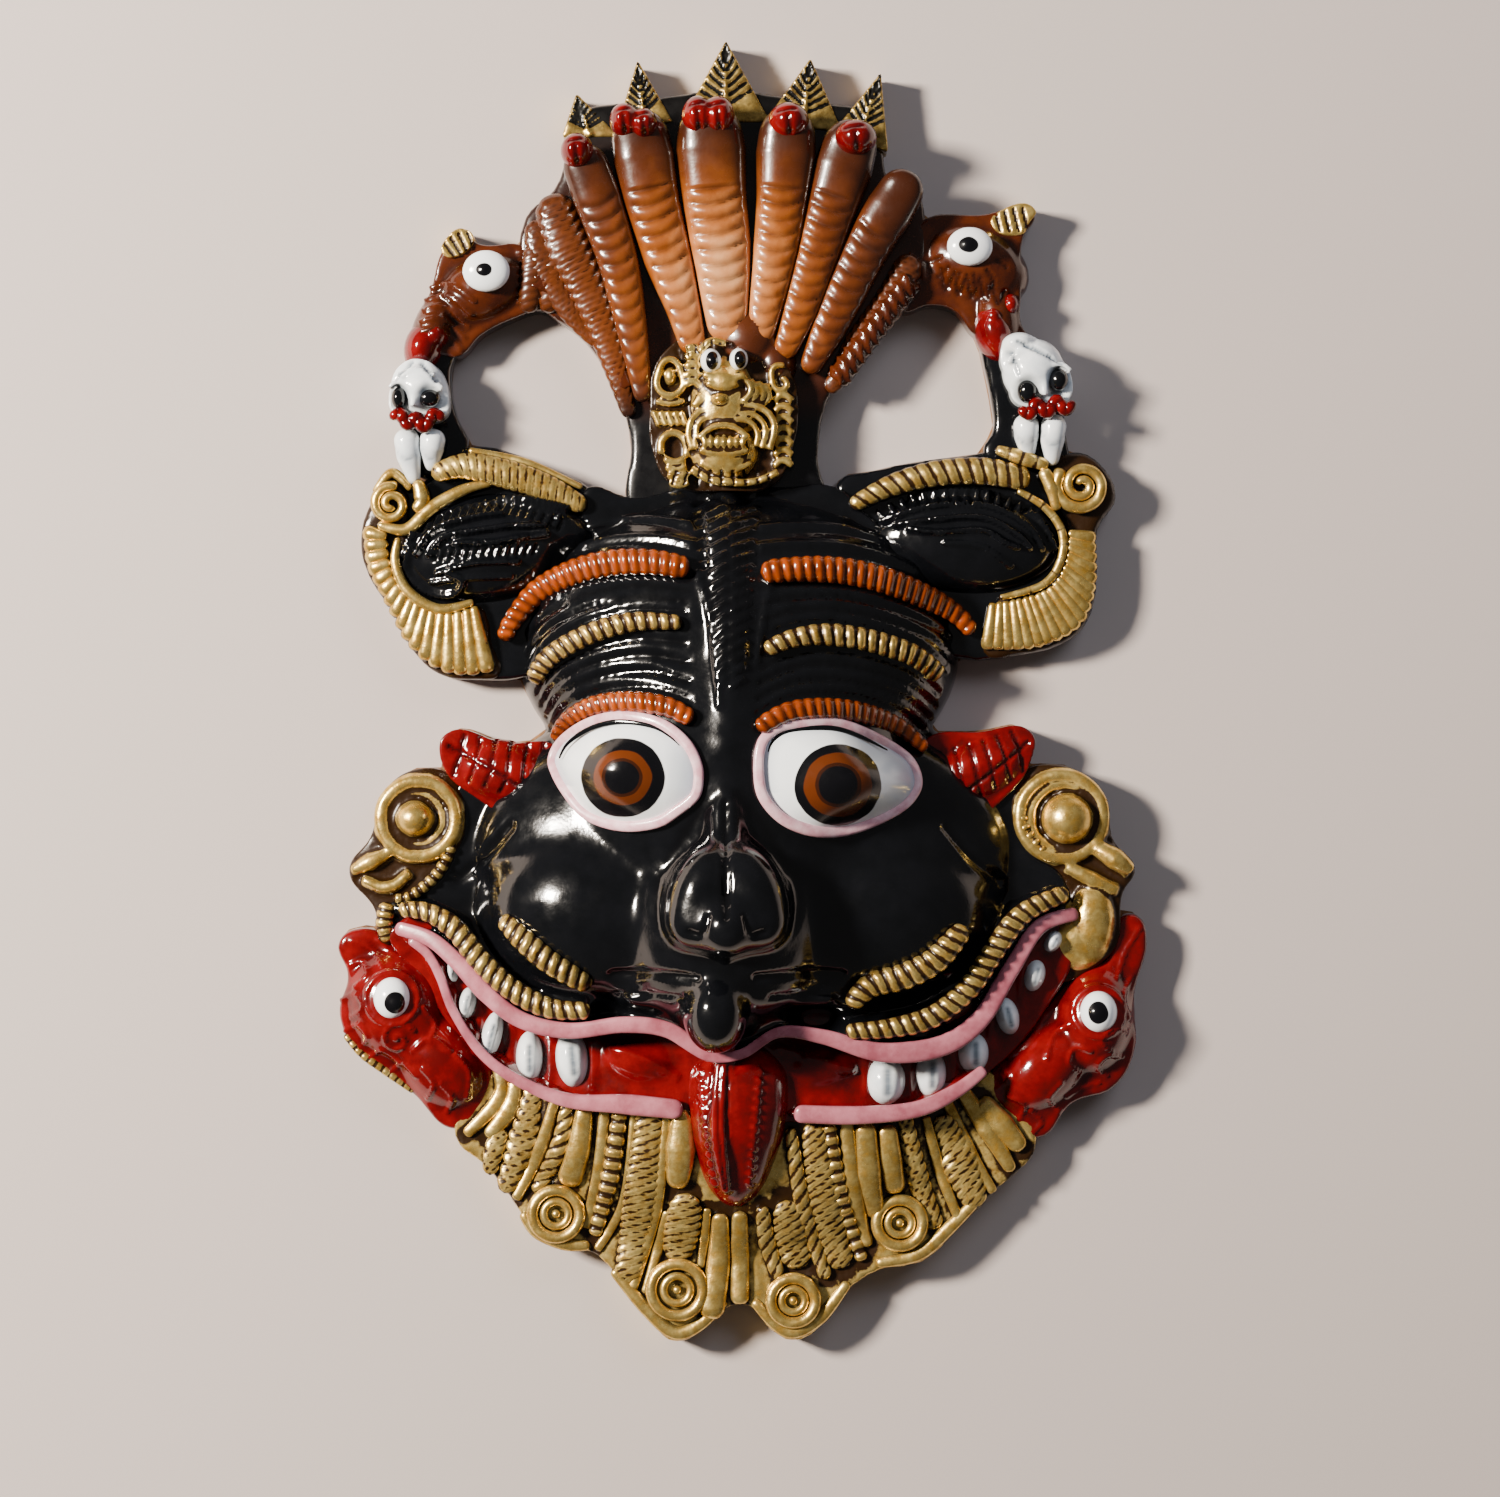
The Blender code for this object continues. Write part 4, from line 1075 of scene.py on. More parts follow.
# %% Serpent eyes, mouths and gold tips
for side, centre, radii, pupil, dot in (
        ("left", (-70.5, 116), (6.6, 5.8, 3.2), (-71, 116), 2.0),
        ("right", (62.8, 122.8), (6.4, 5.4, 3.2), (62.2, 123.0), 2.5)):
    name = f"{side}_serpent_eye"
    paint = eye_paint(f"{name}_paint", pupil, [(dot, BLACK_RING), (14, SMALL_EYE_WHITE)], stretch=(1.1, 0.9))
    painted_eye(name, centre, radii, GROUND + 6.4, paint, iris=(pupil, (dot, 0.4)))

clay = bmesh.new()
ball(clay, (-88.5, 96, LOW + 2), (5.6, 7.5, 9), turn=-15)
ball(clay, (-85, 99, LOW + 3), (4, 4, 8))
ball(clay, (70, 100, LOW + 2), (5.6, 8.5, 9.5), turn=15)
ball(clay, (69.5, 104, GROUND + 2), (2.5, 2.5, 4))
ball(clay, (74.5, 107.5, GROUND + 1), (2.2, 3, 3.5))
serpent_mouths = fuse("serpent_mouths", clay, [below], grain=0.5)
wash_and_shade_hollows(serpent_mouths)
keep(serpent_mouths, red_enamel)

clay = bmesh.new()
slab(clay, [(-83, 121.5), (-80.5, 127.5), (-78, 128.6), (-74.5, 126.6), (-76, 122.5)], GROUND + 1.5)
slab(clay, [(69, 130), (71, 133.2), (81.3, 134), (79.5, 130), (77.6, 127)], GROUND + 0.8)
tips = fuse("serpent_gold_tips", clay, [below], grain=0.5)
incise(tips, [([(-83 + k * 2.2, 125 + k), (-80 + k * 2.2, 121)], 0.7, 0.9) for k in range(4)]
       + [([(70 + k * 2.6, 134), (71.5 + k * 2.6, 128)], 0.7, 0.9) for k in range(4)])
wash_and_shade_hollows(tips, full=0.3)
keep(tips, gold_paint)

# %% [markdown]
# The skulls are white lumps with browed, sunken black sockets. A jagged red strand stands for the
# lips, and two long white fangs hang from each. The photograph shows the fangs only in part.

# %% Skulls and fangs
SKULLS = [
    [(-96.8, 77.5), (-97.2, 84), (-94, 90.6), (-88, 91.8), (-83, 88), (-81, 82), (-82, 76), (-89, 74.6)],
    [(75.5, 80), (73.4, 86), (71.3, 92), (73, 97.6), (78, 99), (83, 96.5), (88.6, 91.5), (91.2, 86),
     (90, 80.4), (82, 78.6)],
]
BROWS = [
    (1.0, [(-97, 83.4), (-94.6, 85.2), (-91.6, 83.6)]), (1.0, [(-89.6, 83.6), (-86, 85.4), (-82.4, 83.2)]),
    (1.2, [(-90.6, 84), (-90.6, 78.6)]), (0.9, [(-95, 87), (-90, 88.6), (-84.6, 87)]),
    (0.9, [(73, 90.5), (77, 93.6), (84, 92.6)]),
    (1.0, [(75.6, 86), (79, 87.4), (82, 85.6)]), (1.0, [(84, 88.6), (87.4, 90), (90.4, 88)]),
    (1.2, [(83.6, 87.6), (83, 81.6)]),
]
clay = bmesh.new()
for outline in SKULLS:
    slab(clay, outline, GROUND + 5.5)
ball(clay, (-89, 84, GROUND + 2), (7.6, 7.6, 8.2))
ball(clay, (80.5, 89, GROUND + 2), (8.6, 9, 8.6), turn=-25)
ball(clay, (76.2, 96.4, GROUND + 4), (4.6, 3, 5), turn=8)
for half, line in BROWS:
    rope(clay, [(x, y, GROUND + 8.4) for x, y in line], half)
skulls = fuse("skulls", clay, [below], grain=0.6, rounds=3)
SOCKETS = [(-94.6, 81, 1.9, 2.9), (-86.2, 81, 2.9, 2.4), (78.6, 83, 2.6, 3.2), (87.2, 86, 2.5, 2.9)]
pits = [([(x, y - 0.6), (x, y + 0.6)], max(rx, ry) + 1.2, 1.6) for x, y, rx, ry in SOCKETS]
pits += [([(-95, 86), (-91, 91)], 0.9, 0.7), ([(-88, 90.5), (-84, 85.6)], 1.0, 0.9),
         ([(76, 96.4), (85, 92)], 1.0, 0.9), ([(74.4, 93), (76, 87.6)], 0.9, 0.7),
         ([(80, 95), (88, 90)], 0.8, 0.6)]
incise(skulls, pits)
wash_and_shade_hollows(skulls, full=0.5)
keep(skulls, white_enamel)

clay = bmesh.new()
for x, y, rx, ry in SOCKETS:
    ball(clay, (x, y, GROUND + 6.6), (rx * 1.1, ry * 1.1, 3), sides=20)
sockets = fuse("skull_sockets", clay, [below], grain=0.4)
keep(sockets, black_enamel)

clay = bmesh.new()
for line in ([(-97, 75.2), (-94.2, 76.6), (-92, 73.4), (-89.6, 75.4), (-87.4, 72.6), (-84.8, 76.4),
              (-81.8, 75)],
             [(76.2, 78.4), (79, 76.4), (81.2, 79.6), (84, 77), (86.6, 80.4), (89, 77.6), (91.6, 80)]):
    strand(clay, [(x, y, GROUND + 7.8) for x, y in line], [1.2, 2.0, 1.7, 2.1, 1.6, 2.0, 1.2], tall=0.9,
           cut=notches(2.8, lobe=0.6), depth=0.3, step=0.4)
skull_lips = to_piece("skull_lips", clay)
keep(skull_lips, red_enamel)

clay = bmesh.new()
for x, y, tip_x, tip_y in (
        (-93, 73, -90.5, 57.5), (-85, 73, -86, 61), (78.6, 77, 79.5, 64.5), (86.5, 77, 86, 62.5)):
    middle = between((x, y), (tip_x, tip_y), 0.5)
    strand(clay, [(x, y, GROUND + 3), (middle[0] - 0.4, middle[1], GROUND + 3), (tip_x, tip_y, GROUND + 1)],
           [3.8, 3.5, 1.5], tall=1.1, cut=notches(9.0, bow=4.0, lobe=0.2), depth=0.12, around=18)
fangs = to_piece("fangs", clay)
keep(fangs, white_enamel)

# %% [markdown]
# ## Ears
# Each ear is a black ribbed shell in a frame of gold: a notched roll on top, a smooth rim, and
# flutes that fan out below it. The flutes are strands that spring from the rim.

# %% Ear grounds and shells
LEFT_EAR = [
    (-38, 48), (-44, 58), (-52, 61.5), (-62, 66), (-74, 68.5), (-82, 66), (-90, 58), (-96.5, 61),
    (-103, 53), (-106, 42), (-104, 33), (-97, 22), (-91, 11), (-84, 5), (-74, 3.5), (-60, 4.5),
    (-52, 10), (-48, 30),
]
RIGHT_EAR = [
    (30, 48), (26, 57.5), (38, 62), (54, 65), (66, 66.5), (75, 69), (84, 64), (93, 67), (101, 62),
    (104, 54), (99, 45.5), (98.5, 28), (95, 18), (88, 13), (78, 10.5), (60, 9.5), (50, 14), (46, 30),
]
clay = bmesh.new()
slab(clay, LEFT_EAR, GROUND - 1)
slab(clay, RIGHT_EAR, GROUND - 1)
ear_grounds = fuse("ear_grounds", clay, [hollow_cutter, below], grain=1.5)
keep(ear_grounds, black_enamel)

clay = bmesh.new()
ball(clay, (-71, 40, GROUND - 4), (25, 15.5, 12), turn=8, sides=40)
ball(clay, (-58, 46, GROUND - 4), (18, 9, 11), turn=-10, sides=32)
ball(clay, (62, 41.5, GROUND - 4), (27, 14.5, 12), turn=-4, sides=40)
shells = fuse("ear_shells", clay, [below], grain=0.6)
ridges = []
for step in range(4):
    inset = 3.4 * step
    ridges.append(([(-93 + inset, 38), (-88 + inset, 46 - inset * 0.5), (-76 + inset * 0.5, 51 - inset),
                    (-62, 52.5 - inset), (-49 - inset * 0.5, 50 - inset * 0.6)], 1.15, -2.8))
    ridges.append(([(36 + inset, 48 - inset * 0.3), (50 + inset * 0.4, 54 - inset), (66, 54.5 - inset),
                    (80 - inset * 0.7, 49 - inset * 0.8), (86 - inset, 40)], 1.15, -2.4))
ridges += [
    ([(-91, 40), (-92.5, 34), (-87, 28.5), (-80, 27.5), (-77, 31), (-81, 33)], 1.4, -2.2),
    ([(-84, 33), (-74, 35.5), (-62, 36)], 1.1, -1.9),
    ([(-86, 30.5), (-76, 31.5), (-64, 32)], 1.0, -1.4),
    ([(56, 41), (66, 40), (74, 35)], 1.3, -1.0),
]
for step in range(13):
    x = -85 + step * 2.3
    ridges.append(([(x, 36.6 + 0.12 * step), (x + 0.9, 39 + 0.12 * step)], 0.8, 1.1))
for step in range(17):
    x = -89 + step * 2.4
    y = 42.5 + 7.4 * math.sin(math.pi * (step + 2) / 20)
    ridges.append(([(x, y), (x + 1, y + 2.2)], 0.75, 1.1))
for step in range(15):
    x = 40 + step * 2.9
    y = 52.0 - ((x - 60) / 13) ** 2
    ridges.append(([(x, y), (x + 0.6, y + 1.8)], 0.7, 0.9))
incise(shells, ridges)
keep(shells, black_enamel)

# %% [markdown]
# The gold round each shell: a flat ground, darkened all over as wash and painted shade between the
# flutes, flutes that fan out over it, a notched roll on top, smooth rims and a spiral at the outer corner.

# %% Gold frames of the ears
LEFT_GOLD = [
    (-92, 46), (-97, 60.5), (-103, 53), (-106, 42), (-104, 33), (-97, 22), (-91, 11), (-84, 5),
    (-74, 3.6), (-67, 5), (-69, 13), (-73, 24.5), (-83, 23), (-91, 27), (-95, 35),
]
RIGHT_GOLD = [
    (86, 52), (84, 62), (93, 66.5), (100.6, 62), (103.6, 54), (98.6, 45.5), (98, 28), (94.6, 18),
    (87.6, 13), (78, 10.8), (67, 10.8), (69, 19), (71, 26), (83, 29), (88, 37), (89, 45),
]
clay = bmesh.new()
slab(clay, LEFT_GOLD, GROUND)
slab(clay, RIGHT_GOLD, GROUND)
fan_ground = fuse("ear_gold_ground", clay, [below], grain=1.4)
# The whole flat ground is darkened, as wash and painted shade between the flutes.
wash_and_shade_below(fan_ground, GROUND * 2)
keep(fan_ground, gold_paint)


def fan(clay, inner, outer, count, half, height, cut=None):
    """Flutes that spring from points along an inner line to points along an outer one."""
    near, _ = smooth_line(inner, 0.5)
    far, _ = smooth_line(outer, 0.5)
    for step in range(count):
        share = (step + 0.5) / count
        start = near[int(share * (len(near) - 1))]
        end = far[int(share * (len(far) - 1))]
        middle = between(start, end, 0.5)
        strand(clay, [(*start, height + 1.4), (*middle, height + 0.8), (*end, height - 0.6)],
               [half * 0.55, half * 0.9, half * 1.1], tall=0.9, cut=cut, depth=0.2, around=12)


clay = bmesh.new()
fan(clay, [(-98, 44), (-97, 36), (-94, 29), (-88, 24.5), (-81, 22.5), (-73, 24.5)],
    [(-105.5, 46), (-104, 34), (-97.6, 22.6), (-91.5, 12), (-84, 6), (-76, 4.4), (-68.5, 5.6)],
    17, 2.3, GROUND + 0.6)
fan(clay, [(69, 25), (78, 26.5), (85, 29.5), (89, 36), (90, 45)],
    [(67, 11.5), (78, 11.6), (87, 13.8), (94.6, 19), (98, 29), (98.4, 44)], 19, 2.0, GROUND + 0.6)
flutes = to_piece("ear_flutes", clay)
keep(flutes, gold_paint)

clay = bmesh.new()
TRIM = GROUND + 2.5
roll_notches = notches(2.3, slant=1.0, lobe=0.35)
bead_notches = notches(3.5, slant=1.2, lobe=0.6)
strand(clay, [(-43, 51, TRIM), (-55, 57, TRIM), (-66, 60.5, TRIM), (-77, 62.5, TRIM), (-86, 60, TRIM)],
       [2.4, 3.8, 4.3, 4.0, 2.6], cut=roll_notches, depth=0.2, tall=0.85)
strand(clay, [(30, 51.5, TRIM), (41, 57, TRIM), (54, 60.5, TRIM), (68, 61, TRIM), (80, 58.5, TRIM)],
       [2.2, 3.2, 3.8, 4.0, 3.4], cut=bead_notches, depth=0.25, tall=0.85)
strand(clay, [(-44, 56.6, TRIM - 1), (-60, 63.6, TRIM - 1), (-76, 67, TRIM - 1)], [0.8, 1.3, 1.0])
strand(clay, [(-101, 46.5, TRIM), (-93, 45, TRIM), (-86, 51, TRIM), (-77, 56, TRIM), (-69, 58, TRIM)],
       [1.2, 1.8, 1.9, 1.7, 1.0])
strand(clay, [(-95, 43, TRIM), (-96, 36, TRIM), (-92.5, 28, TRIM), (-84, 23, TRIM), (-74, 25, TRIM)],
       [1.0, 1.5, 1.6, 1.5, 1.0])
strand(clay, [(-90, 59, TRIM), (-88.5, 53, TRIM), (-91, 50, TRIM)], [1.5, 2.4, 1.6])
strand(clay, [(76, 56, TRIM), (84, 51, TRIM), (88.6, 44, TRIM), (88, 36, TRIM), (83, 29.6, TRIM),
              (71, 26, TRIM)], [0.9, 1.2, 1.3, 1.2, 1.1, 0.8], cut=notches(4.2, lobe=0.2), depth=0.1)


def spiral(x, y, z, radius, turns, start):
    """Places along a spiral that winds inwards to a third of a unit."""
    places = []
    for step in range(int(turns * 8) + 1):
        share = step / (turns * 8)
        angle = start + share * turns * math.tau
        reach = radius * (1 - share) + 0.35
        places.append((x + reach * math.cos(angle), y + reach * math.sin(angle), z + share * 1.2))
    return places


strand(clay, spiral(-97, 52, TRIM - 0.5, 5.0, 1.8, 1.2), [1.6, 1.4, 1.2], tall=1.2)
strand(clay, spiral(94, 57.2, TRIM - 0.5, 7.0, 2.2, 2.4), [1.9, 1.7, 1.5, 1.3], tall=1.2)
strand(clay, [(-102, 55, TRIM - 1.5), (-97, 60.8, TRIM - 2), (-91.5, 56, TRIM - 1.5)], [1.0, 1.5, 1.0])
strand(clay, [(83, 62, TRIM), (86, 56, TRIM), (87, 50, TRIM)], [1.8, 2.2, 1.4])
strand(clay, [(70, 67.4, TRIM - 1), (77, 65, TRIM), (85, 62.5, TRIM)], [1.3, 2.4, 1.6],
       cut=notches(4, lobe=0.4))
ear_trim = to_piece("ear_trim", clay)
keep(ear_trim, gold_paint)

# %% [markdown]
# ## The black face
# The face is fused from the domes, the nose, the snout and banks that carry the ropes and lips. It is
# hollow behind, as the real one is, so that it stays light: the same domes, smaller by the wall,
# are cut out of it. Wrinkles between the brow ropes are gouge lines.

# %% Ropes and lips as lines
BROW_ROPES = [
    ([(-14, 33), (-24, 35), (-36, 35), (-47, 32.5), (-57, 27.5), (-64, 19), (-66, 14)], 3.3),
    ([(5, 32), (16, 33), (28, 32.6), (40, 30), (52, 25.5), (60, 21), (64, 16)], 3.3),
    ([(-16, 18.3), (-28, 18.8), (-38, 16.7), (-47, 13), (-54, 8.4), (-58, 2.5)], 2.6),
    ([(6, 10.7), (13, 13.8), (22, 15.2), (33, 14), (44, 11), (50, 8), (55, 4)], 2.8),
    ([(-13, -8), (-20, -4.4), (-30, -3), (-40, -4), (-48, -8), (-52, -13.5)], 2.6),
    ([(4, -10.5), (12, -6), (22, -4.8), (33, -6), (43, -9.6), (51, -16)], 2.6),
]
CHEEK_ROPES = [
    ([(-66, -61.5), (-60, -67), (-53, -73), (-46, -77.5), (-41, -80.5)], 2.8),
    ([(29, -86), (35, -80), (44, -77.5), (52, -73.5), (57, -68.5), (61, -64)], 3.2),
    ([(-95, -60), (-87, -60.5), (-79, -65), (-71, -74.5), (-62, -82), (-52, -86.5), (-41, -87)], 2.7),
    ([(28, -92.5), (40, -91.8), (52, -88.8), (62, -81), (69, -71), (77, -61), (90, -55)], 2.7),
]
UPPER_LIP = [
    (-96, -65), (-86, -68), (-78, -74.5), (-70, -83), (-60, -90), (-47, -92.6), (-32, -90.8),
    (-20, -92.2), (-9, -99), (0, -98.6), (10, -92.8), (22, -94), (38, -98.4), (54, -97), (65, -90),
    (74, -76), (82, -64.5), (93, -61),
]
LOWER_LIP = [
    (-92, -68), (-86.5, -72.5), (-83, -79), (-79.5, -88), (-72, -99), (-62, -106.5), (-48, -112),
    (-32, -113), (-16, -114.5),
    (14, -115.5), (32, -116), (48, -114.5), (59, -109.5), (67, -103.5),
]
LIP_HALF = 2.2
CHEEK_GROUND = [
    (-56, -14), (-78, -24), (-82, -45), (-94, -57), (-98, -66), (-80, -90), (-40, -100), (0, -104),
    (40, -104), (76, -92), (94, -70), (90, -52), (80, -42), (76, -22), (56, -14),
]

TEMPLES = [(-38, 40), (-44, 56), (-30, 54), (-12, 58), (10, 57), (26, 57), (32, 52), (40, 40), (0, 30)]


def lip_crest(x):
    """Height of the bank that the upper lip and its rope lie on: it bows forward at the middle."""
    return GROUND + 3 + RISE * 0.38 * (1 - (x / 98) ** 2)


def lower_crest(x):
    """Height of the bank under the lower lip."""
    return GROUND + 5 + RISE * 0.2 * (1 - (x / 90) ** 2)


def bank(clay, line, half_width, crest):
    """Adds a rounded bank under a plan line; crest gives its height at each X."""
    for start, end in zip(line, line[1:]):
        for step in range(3):
            x, y = between(start, end, step / 3)
            ball(clay, (x, y, 0), (half_width + 2, half_width, crest(x)), sides=16)


print("lip's bank at the middle and near the corner:", lip_crest(0), round(lip_crest(90), 1))

# %% [markdown]
# The face itself fuses all of that. Its nose stands on the muzzle dome and is made of a bridge, two
# wings and a tip.

# %% The face
clay = bmesh.new()
for (mx, my), (rx, ry), share in FACE_DOMES + [MUZZLE]:
    ball(clay, (mx, my, 0), (rx, ry, RISE * share), sides=64)
nose_top = face_height(-4, -60)
rope(clay, [(-4.5, -22, nose_top - 9), (-4.5, -36, nose_top - 5), (-4, -54, nose_top - 1)], 5, ends=0.8)
for side in (-1, 1):
    ball(clay, (-4 + side * 7, -54, nose_top - 2), (9, 15, 12), turn=side * 22, sides=40)
    ball(clay, (-4 + side * 9.5, -62, nose_top - 1), (8, 8, 11), sides=32)
ball(clay, (-4, -63, nose_top + 2), (9, 9, 13), sides=32)
for step in range(25):
    x = -31 + step * 2.3
    ball(clay, (x, -83.5, 0), (4.5, 6, max(lip_crest(x) + 3, face_height(x, -83.5) + 2)), sides=20)
ball(clay, (-7, -86.5, face_height(-5, -88) + 1), (9.5, 12, 15), sides=40)
rope(clay, on_face([(-5, 54), (-4, 40), (-3, 20), (-3, 0), (-4, -20)], -3), 5.5)
slab(clay, CHEEK_GROUND, GROUND + 1)
for line, half in CHEEK_ROPES:
    bank(clay, line, half + 1.5, lip_crest)
bank(clay, UPPER_LIP, LIP_HALF + 0.5, lip_crest)
slab(clay, TEMPLES, GROUND + 1)
face = fuse("black_face", clay, [hollow_cutter, below], grain=1.05, rounds=4)
soften_above(face, GROUND + 4, 20)

# %% [markdown]
# Wrinkles run between the brow ropes, and short cuts cross the ridge between the eyes like the hairs
# of a mane. A minus depth is a ridge.

# %% Wrinkles, nose lines and the brow's ridge
def lines_between(upper, lower, count):
    """Plan lines spread between two ropes."""
    top, _ = smooth_line(upper, 2.0)
    foot, _ = smooth_line(lower, 2.0)
    made = []
    for step in range(1, count + 1):
        share = step / (count + 1)
        line = []
        for k in range(9):
            one = top[int(k / 8 * (len(top) - 1))]
            other = foot[int(k / 8 * (len(foot) - 1))]
            line.append(between(one, other, share))
        made.append(line)
    return made


NOSE_X = -4
folds = []
for upper, lower in ((0, 2), (2, 4), (1, 3), (3, 5)):
    for line in lines_between(BROW_ROPES[upper][0], BROW_ROPES[lower][0], 4):
        folds.append((line, 1.35, 0.9))
for side in (0, 1):
    lifted = [(x * 0.98, y + 7) for x, y in BROW_ROPES[side][0][:6]]
    folds.append((lifted, 1.8, -1.6))
    folds.append(([(x * 0.96, y + 5.5) for x, y in lifted], 1.8, -1.4))
for step in range(12):
    y = 52 - step * 3.2
    folds.append(([(-13 + step * 0.35, y), (-8, y + 2.2), (-2, y - 0.5), (3.5, y + 2)], 1.2, 1.2))
for step in range(7):
    x = -11 + step * 2.3
    folds.append(([(x, 50), (x * 0.7 - 1, 30), (x * 0.45 - 2, 8)], 0.9, 0.8))
folds += [([(-12, 32), (-9, 22), (-7, 8), (-6, -4)], 1.4, -0.9), ([(8, 32), (6, 20), (4, 8)], 1.4, -0.9)]
for step in range(15):
    y = 50 - step * 3.4
    wide = 6.5 - step * 0.25
    folds.append(([(-3 - wide, y - 1.5), (-4.5, y + 0.8)], 1.1, -1.1))
    folds.append(([(-2.5, y - 1.2), (-3 + wide, y + 0.6)], 1.1, -1.1))
folds.append(([(-4.4, -30), (-4.2, -46), (-4, -60)], 1.6, 1.3))
for side in (-1, 1):
    for half, depth, line in (
            (2.6, 0.35, [(3, -28), (11, -38), (17, -50)]),
            (2.6, 0.5, [(18, -50), (18.5, -60), (13, -69), (3, -72)]),
            (1.2, 1.2, [(5, -60), (6.5, -64.5), (10, -64)]),
            (1.8, 1.3, [(8, -77), (20, -76.4), (31, -77)]),
            (1.1, 0.8, [(12, -82.5), (22, -82), (30, -82.5)]),
            (2.4, 1.2, [(60, -37), (67, -45), (75, -52)])):
        folds.append(([(NOSE_X + side * out, y) for out, y in line], half, depth))
incise(face, folds)
wash_and_shade_hollows(face, full=0.8)
keep(face, black_enamel)

# %% [markdown]
# ## Notched ropes
# Orange and gold ropes follow the brow, the eyes and the cheeks. They are strands with cuts about
# three millimetres apart, and the paint between the cuts stands up in round beads.

# %% Orange and gold ropes
clay = bmesh.new()
for index in (0, 1, 4, 5):
    line, half = BROW_ROPES[index]
    widths = [half, half * 1.15, half * 1.15, half * 1.05, half * 0.7]
    strand(clay, on_face(line, half * 0.6), widths, tall=1.0,
           cut=notches(3.0, slant=0.5, lobe=0.85), depth=0.3, around=20, square=0.85)
orange_ropes = to_piece("orange_brow_ropes", clay)
keep(orange_ropes, orange_enamel)

clay = bmesh.new()
for index in (2, 3):
    line, half = BROW_ROPES[index]
    strand(clay, on_face(line, half * 0.6), [half * 0.8, half * 1.15, half * 1.15, half], tall=1.1,
           cut=notches(3.3, slant=0.5, lobe=0.75), depth=0.45, around=20, square=0.85)
for line, half in CHEEK_ROPES:
    laid = [(x, y, max(face_height(x, y), lip_crest(x)) + half * 0.5) for x, y in line]
    strand(clay, laid, [half * 0.8, half * 1.15, half * 1.2, half * 1.15, half * 0.9], tall=1.0,
           cut=notches(3.2, slant=0.8, lobe=0.7), depth=0.4, around=20, square=0.85)
gold_ropes = to_piece("gold_face_ropes", clay)
keep(gold_ropes, gold_paint)

# %% [markdown]
# ## Eyes
# The eyeballs bulge out of almond rims. The rim is a pink strand; ball, iris and pupil are painted
# on one smooth form.

# %% The two great eyes
LEFT_RIM = [
    (-53, -18), (-50, -13), (-43, -8.5), (-35, -6.4), (-27, -6.8), (-20, -9), (-14, -14), (-11, -20),
    (-10.7, -25), (-12, -29), (-17, -33), (-22, -36), (-30, -37.2), (-38, -36), (-44, -33), (-49, -27),
    (-52, -22),
]
RIGHT_RIM = [
    (3.8, -16), (5.5, -12), (10, -9), (18, -8), (26, -8.3), (34, -11), (42, -15), (47, -19), (49, -24),
    (48, -28), (44, -32), (36, -36), (28, -38.4), (20, -38.6), (13, -36.5), (8, -33), (4.5, -28),
    (3.5, -22),
]
# side, rim, middle of the ball, middle of the iris, radii of pupil, brown and black, from X to X shaded
EYES = [
    ("left", LEFT_RIM, (-31.8, -21.7), (-32, -23.4), 4.6, 7.9, 11.4, (-21, -13)),
    ("right", RIGHT_RIM, (26.4, -23.4), (25.8, -25.4), 5.4, 9.2, 11.7, (38, 47)),
]
EYE_RISE = 10             # the eyeball's middle over the face under it
EYE_WHITE = "#f2f7f9"
EYE_SHADE = "#71839a"


def drawn_in(rim, middle, share):
    """A rim drawn in towards its middle by a share."""
    return [between(middle, point, share) for point in rim]


for side, rim, middle, iris, pupil, brown, dark, shaded in EYES:
    paint = eye_paint(
        f"{side}_eye_paint", iris,
        [(pupil, BLACK_RING), (pupil + 0.9, "#2c1205"), (brown, "#542507"), (dark, BLACK_RING),
         (30, EYE_WHITE)],
        stretch=(1.0, 0.94), shade=(*shaded, EYE_SHADE))
    clay = bmesh.new()
    dome(clay, on_face(drawn_in(rim, middle, 0.96), 0.2), middle, face_height(*middle) + EYE_RISE,
         lens=(iris, dark, 0.6))
    keep(to_piece(f"{side}_eyeball", clay), paint)

clay = bmesh.new()
for _, rim, middle, *_ in EYES:
    strand(clay, on_face(drawn_in(rim, middle, 0.955), 1.2), [1.45, 1.6, 1.4, 1.7, 1.45], tall=0.8,
           closed=True, around=18, square=0.8)
rims = to_piece("eye_rims", clay)

# A thin black line under each upper rim: painted shadow of the lid.
clay = bmesh.new()
for _, rim, middle, *_ in EYES:
    lid = drawn_in(rim, middle, 0.86)[:7]
    rise = face_height(*middle) + EYE_RISE
    height = [(x, y, face_height(x, y) * 0.74 + 0.26 * rise + 0.1) for x, y in lid]
    strand(clay, height, [0.25, 0.7, 0.8, 0.6, 0.2], tall=0.5)
lids = to_piece("lid_shadows", clay)
keep(lids, black_enamel)
keep(rims, rim_enamel)

# %% [markdown]
# ## Cheek leaves and bosses
# A red leaf with slanting veins stands at each temple, and below it a gold boss: a button in a
# ring, a row of beads, and a horn that points outwards.

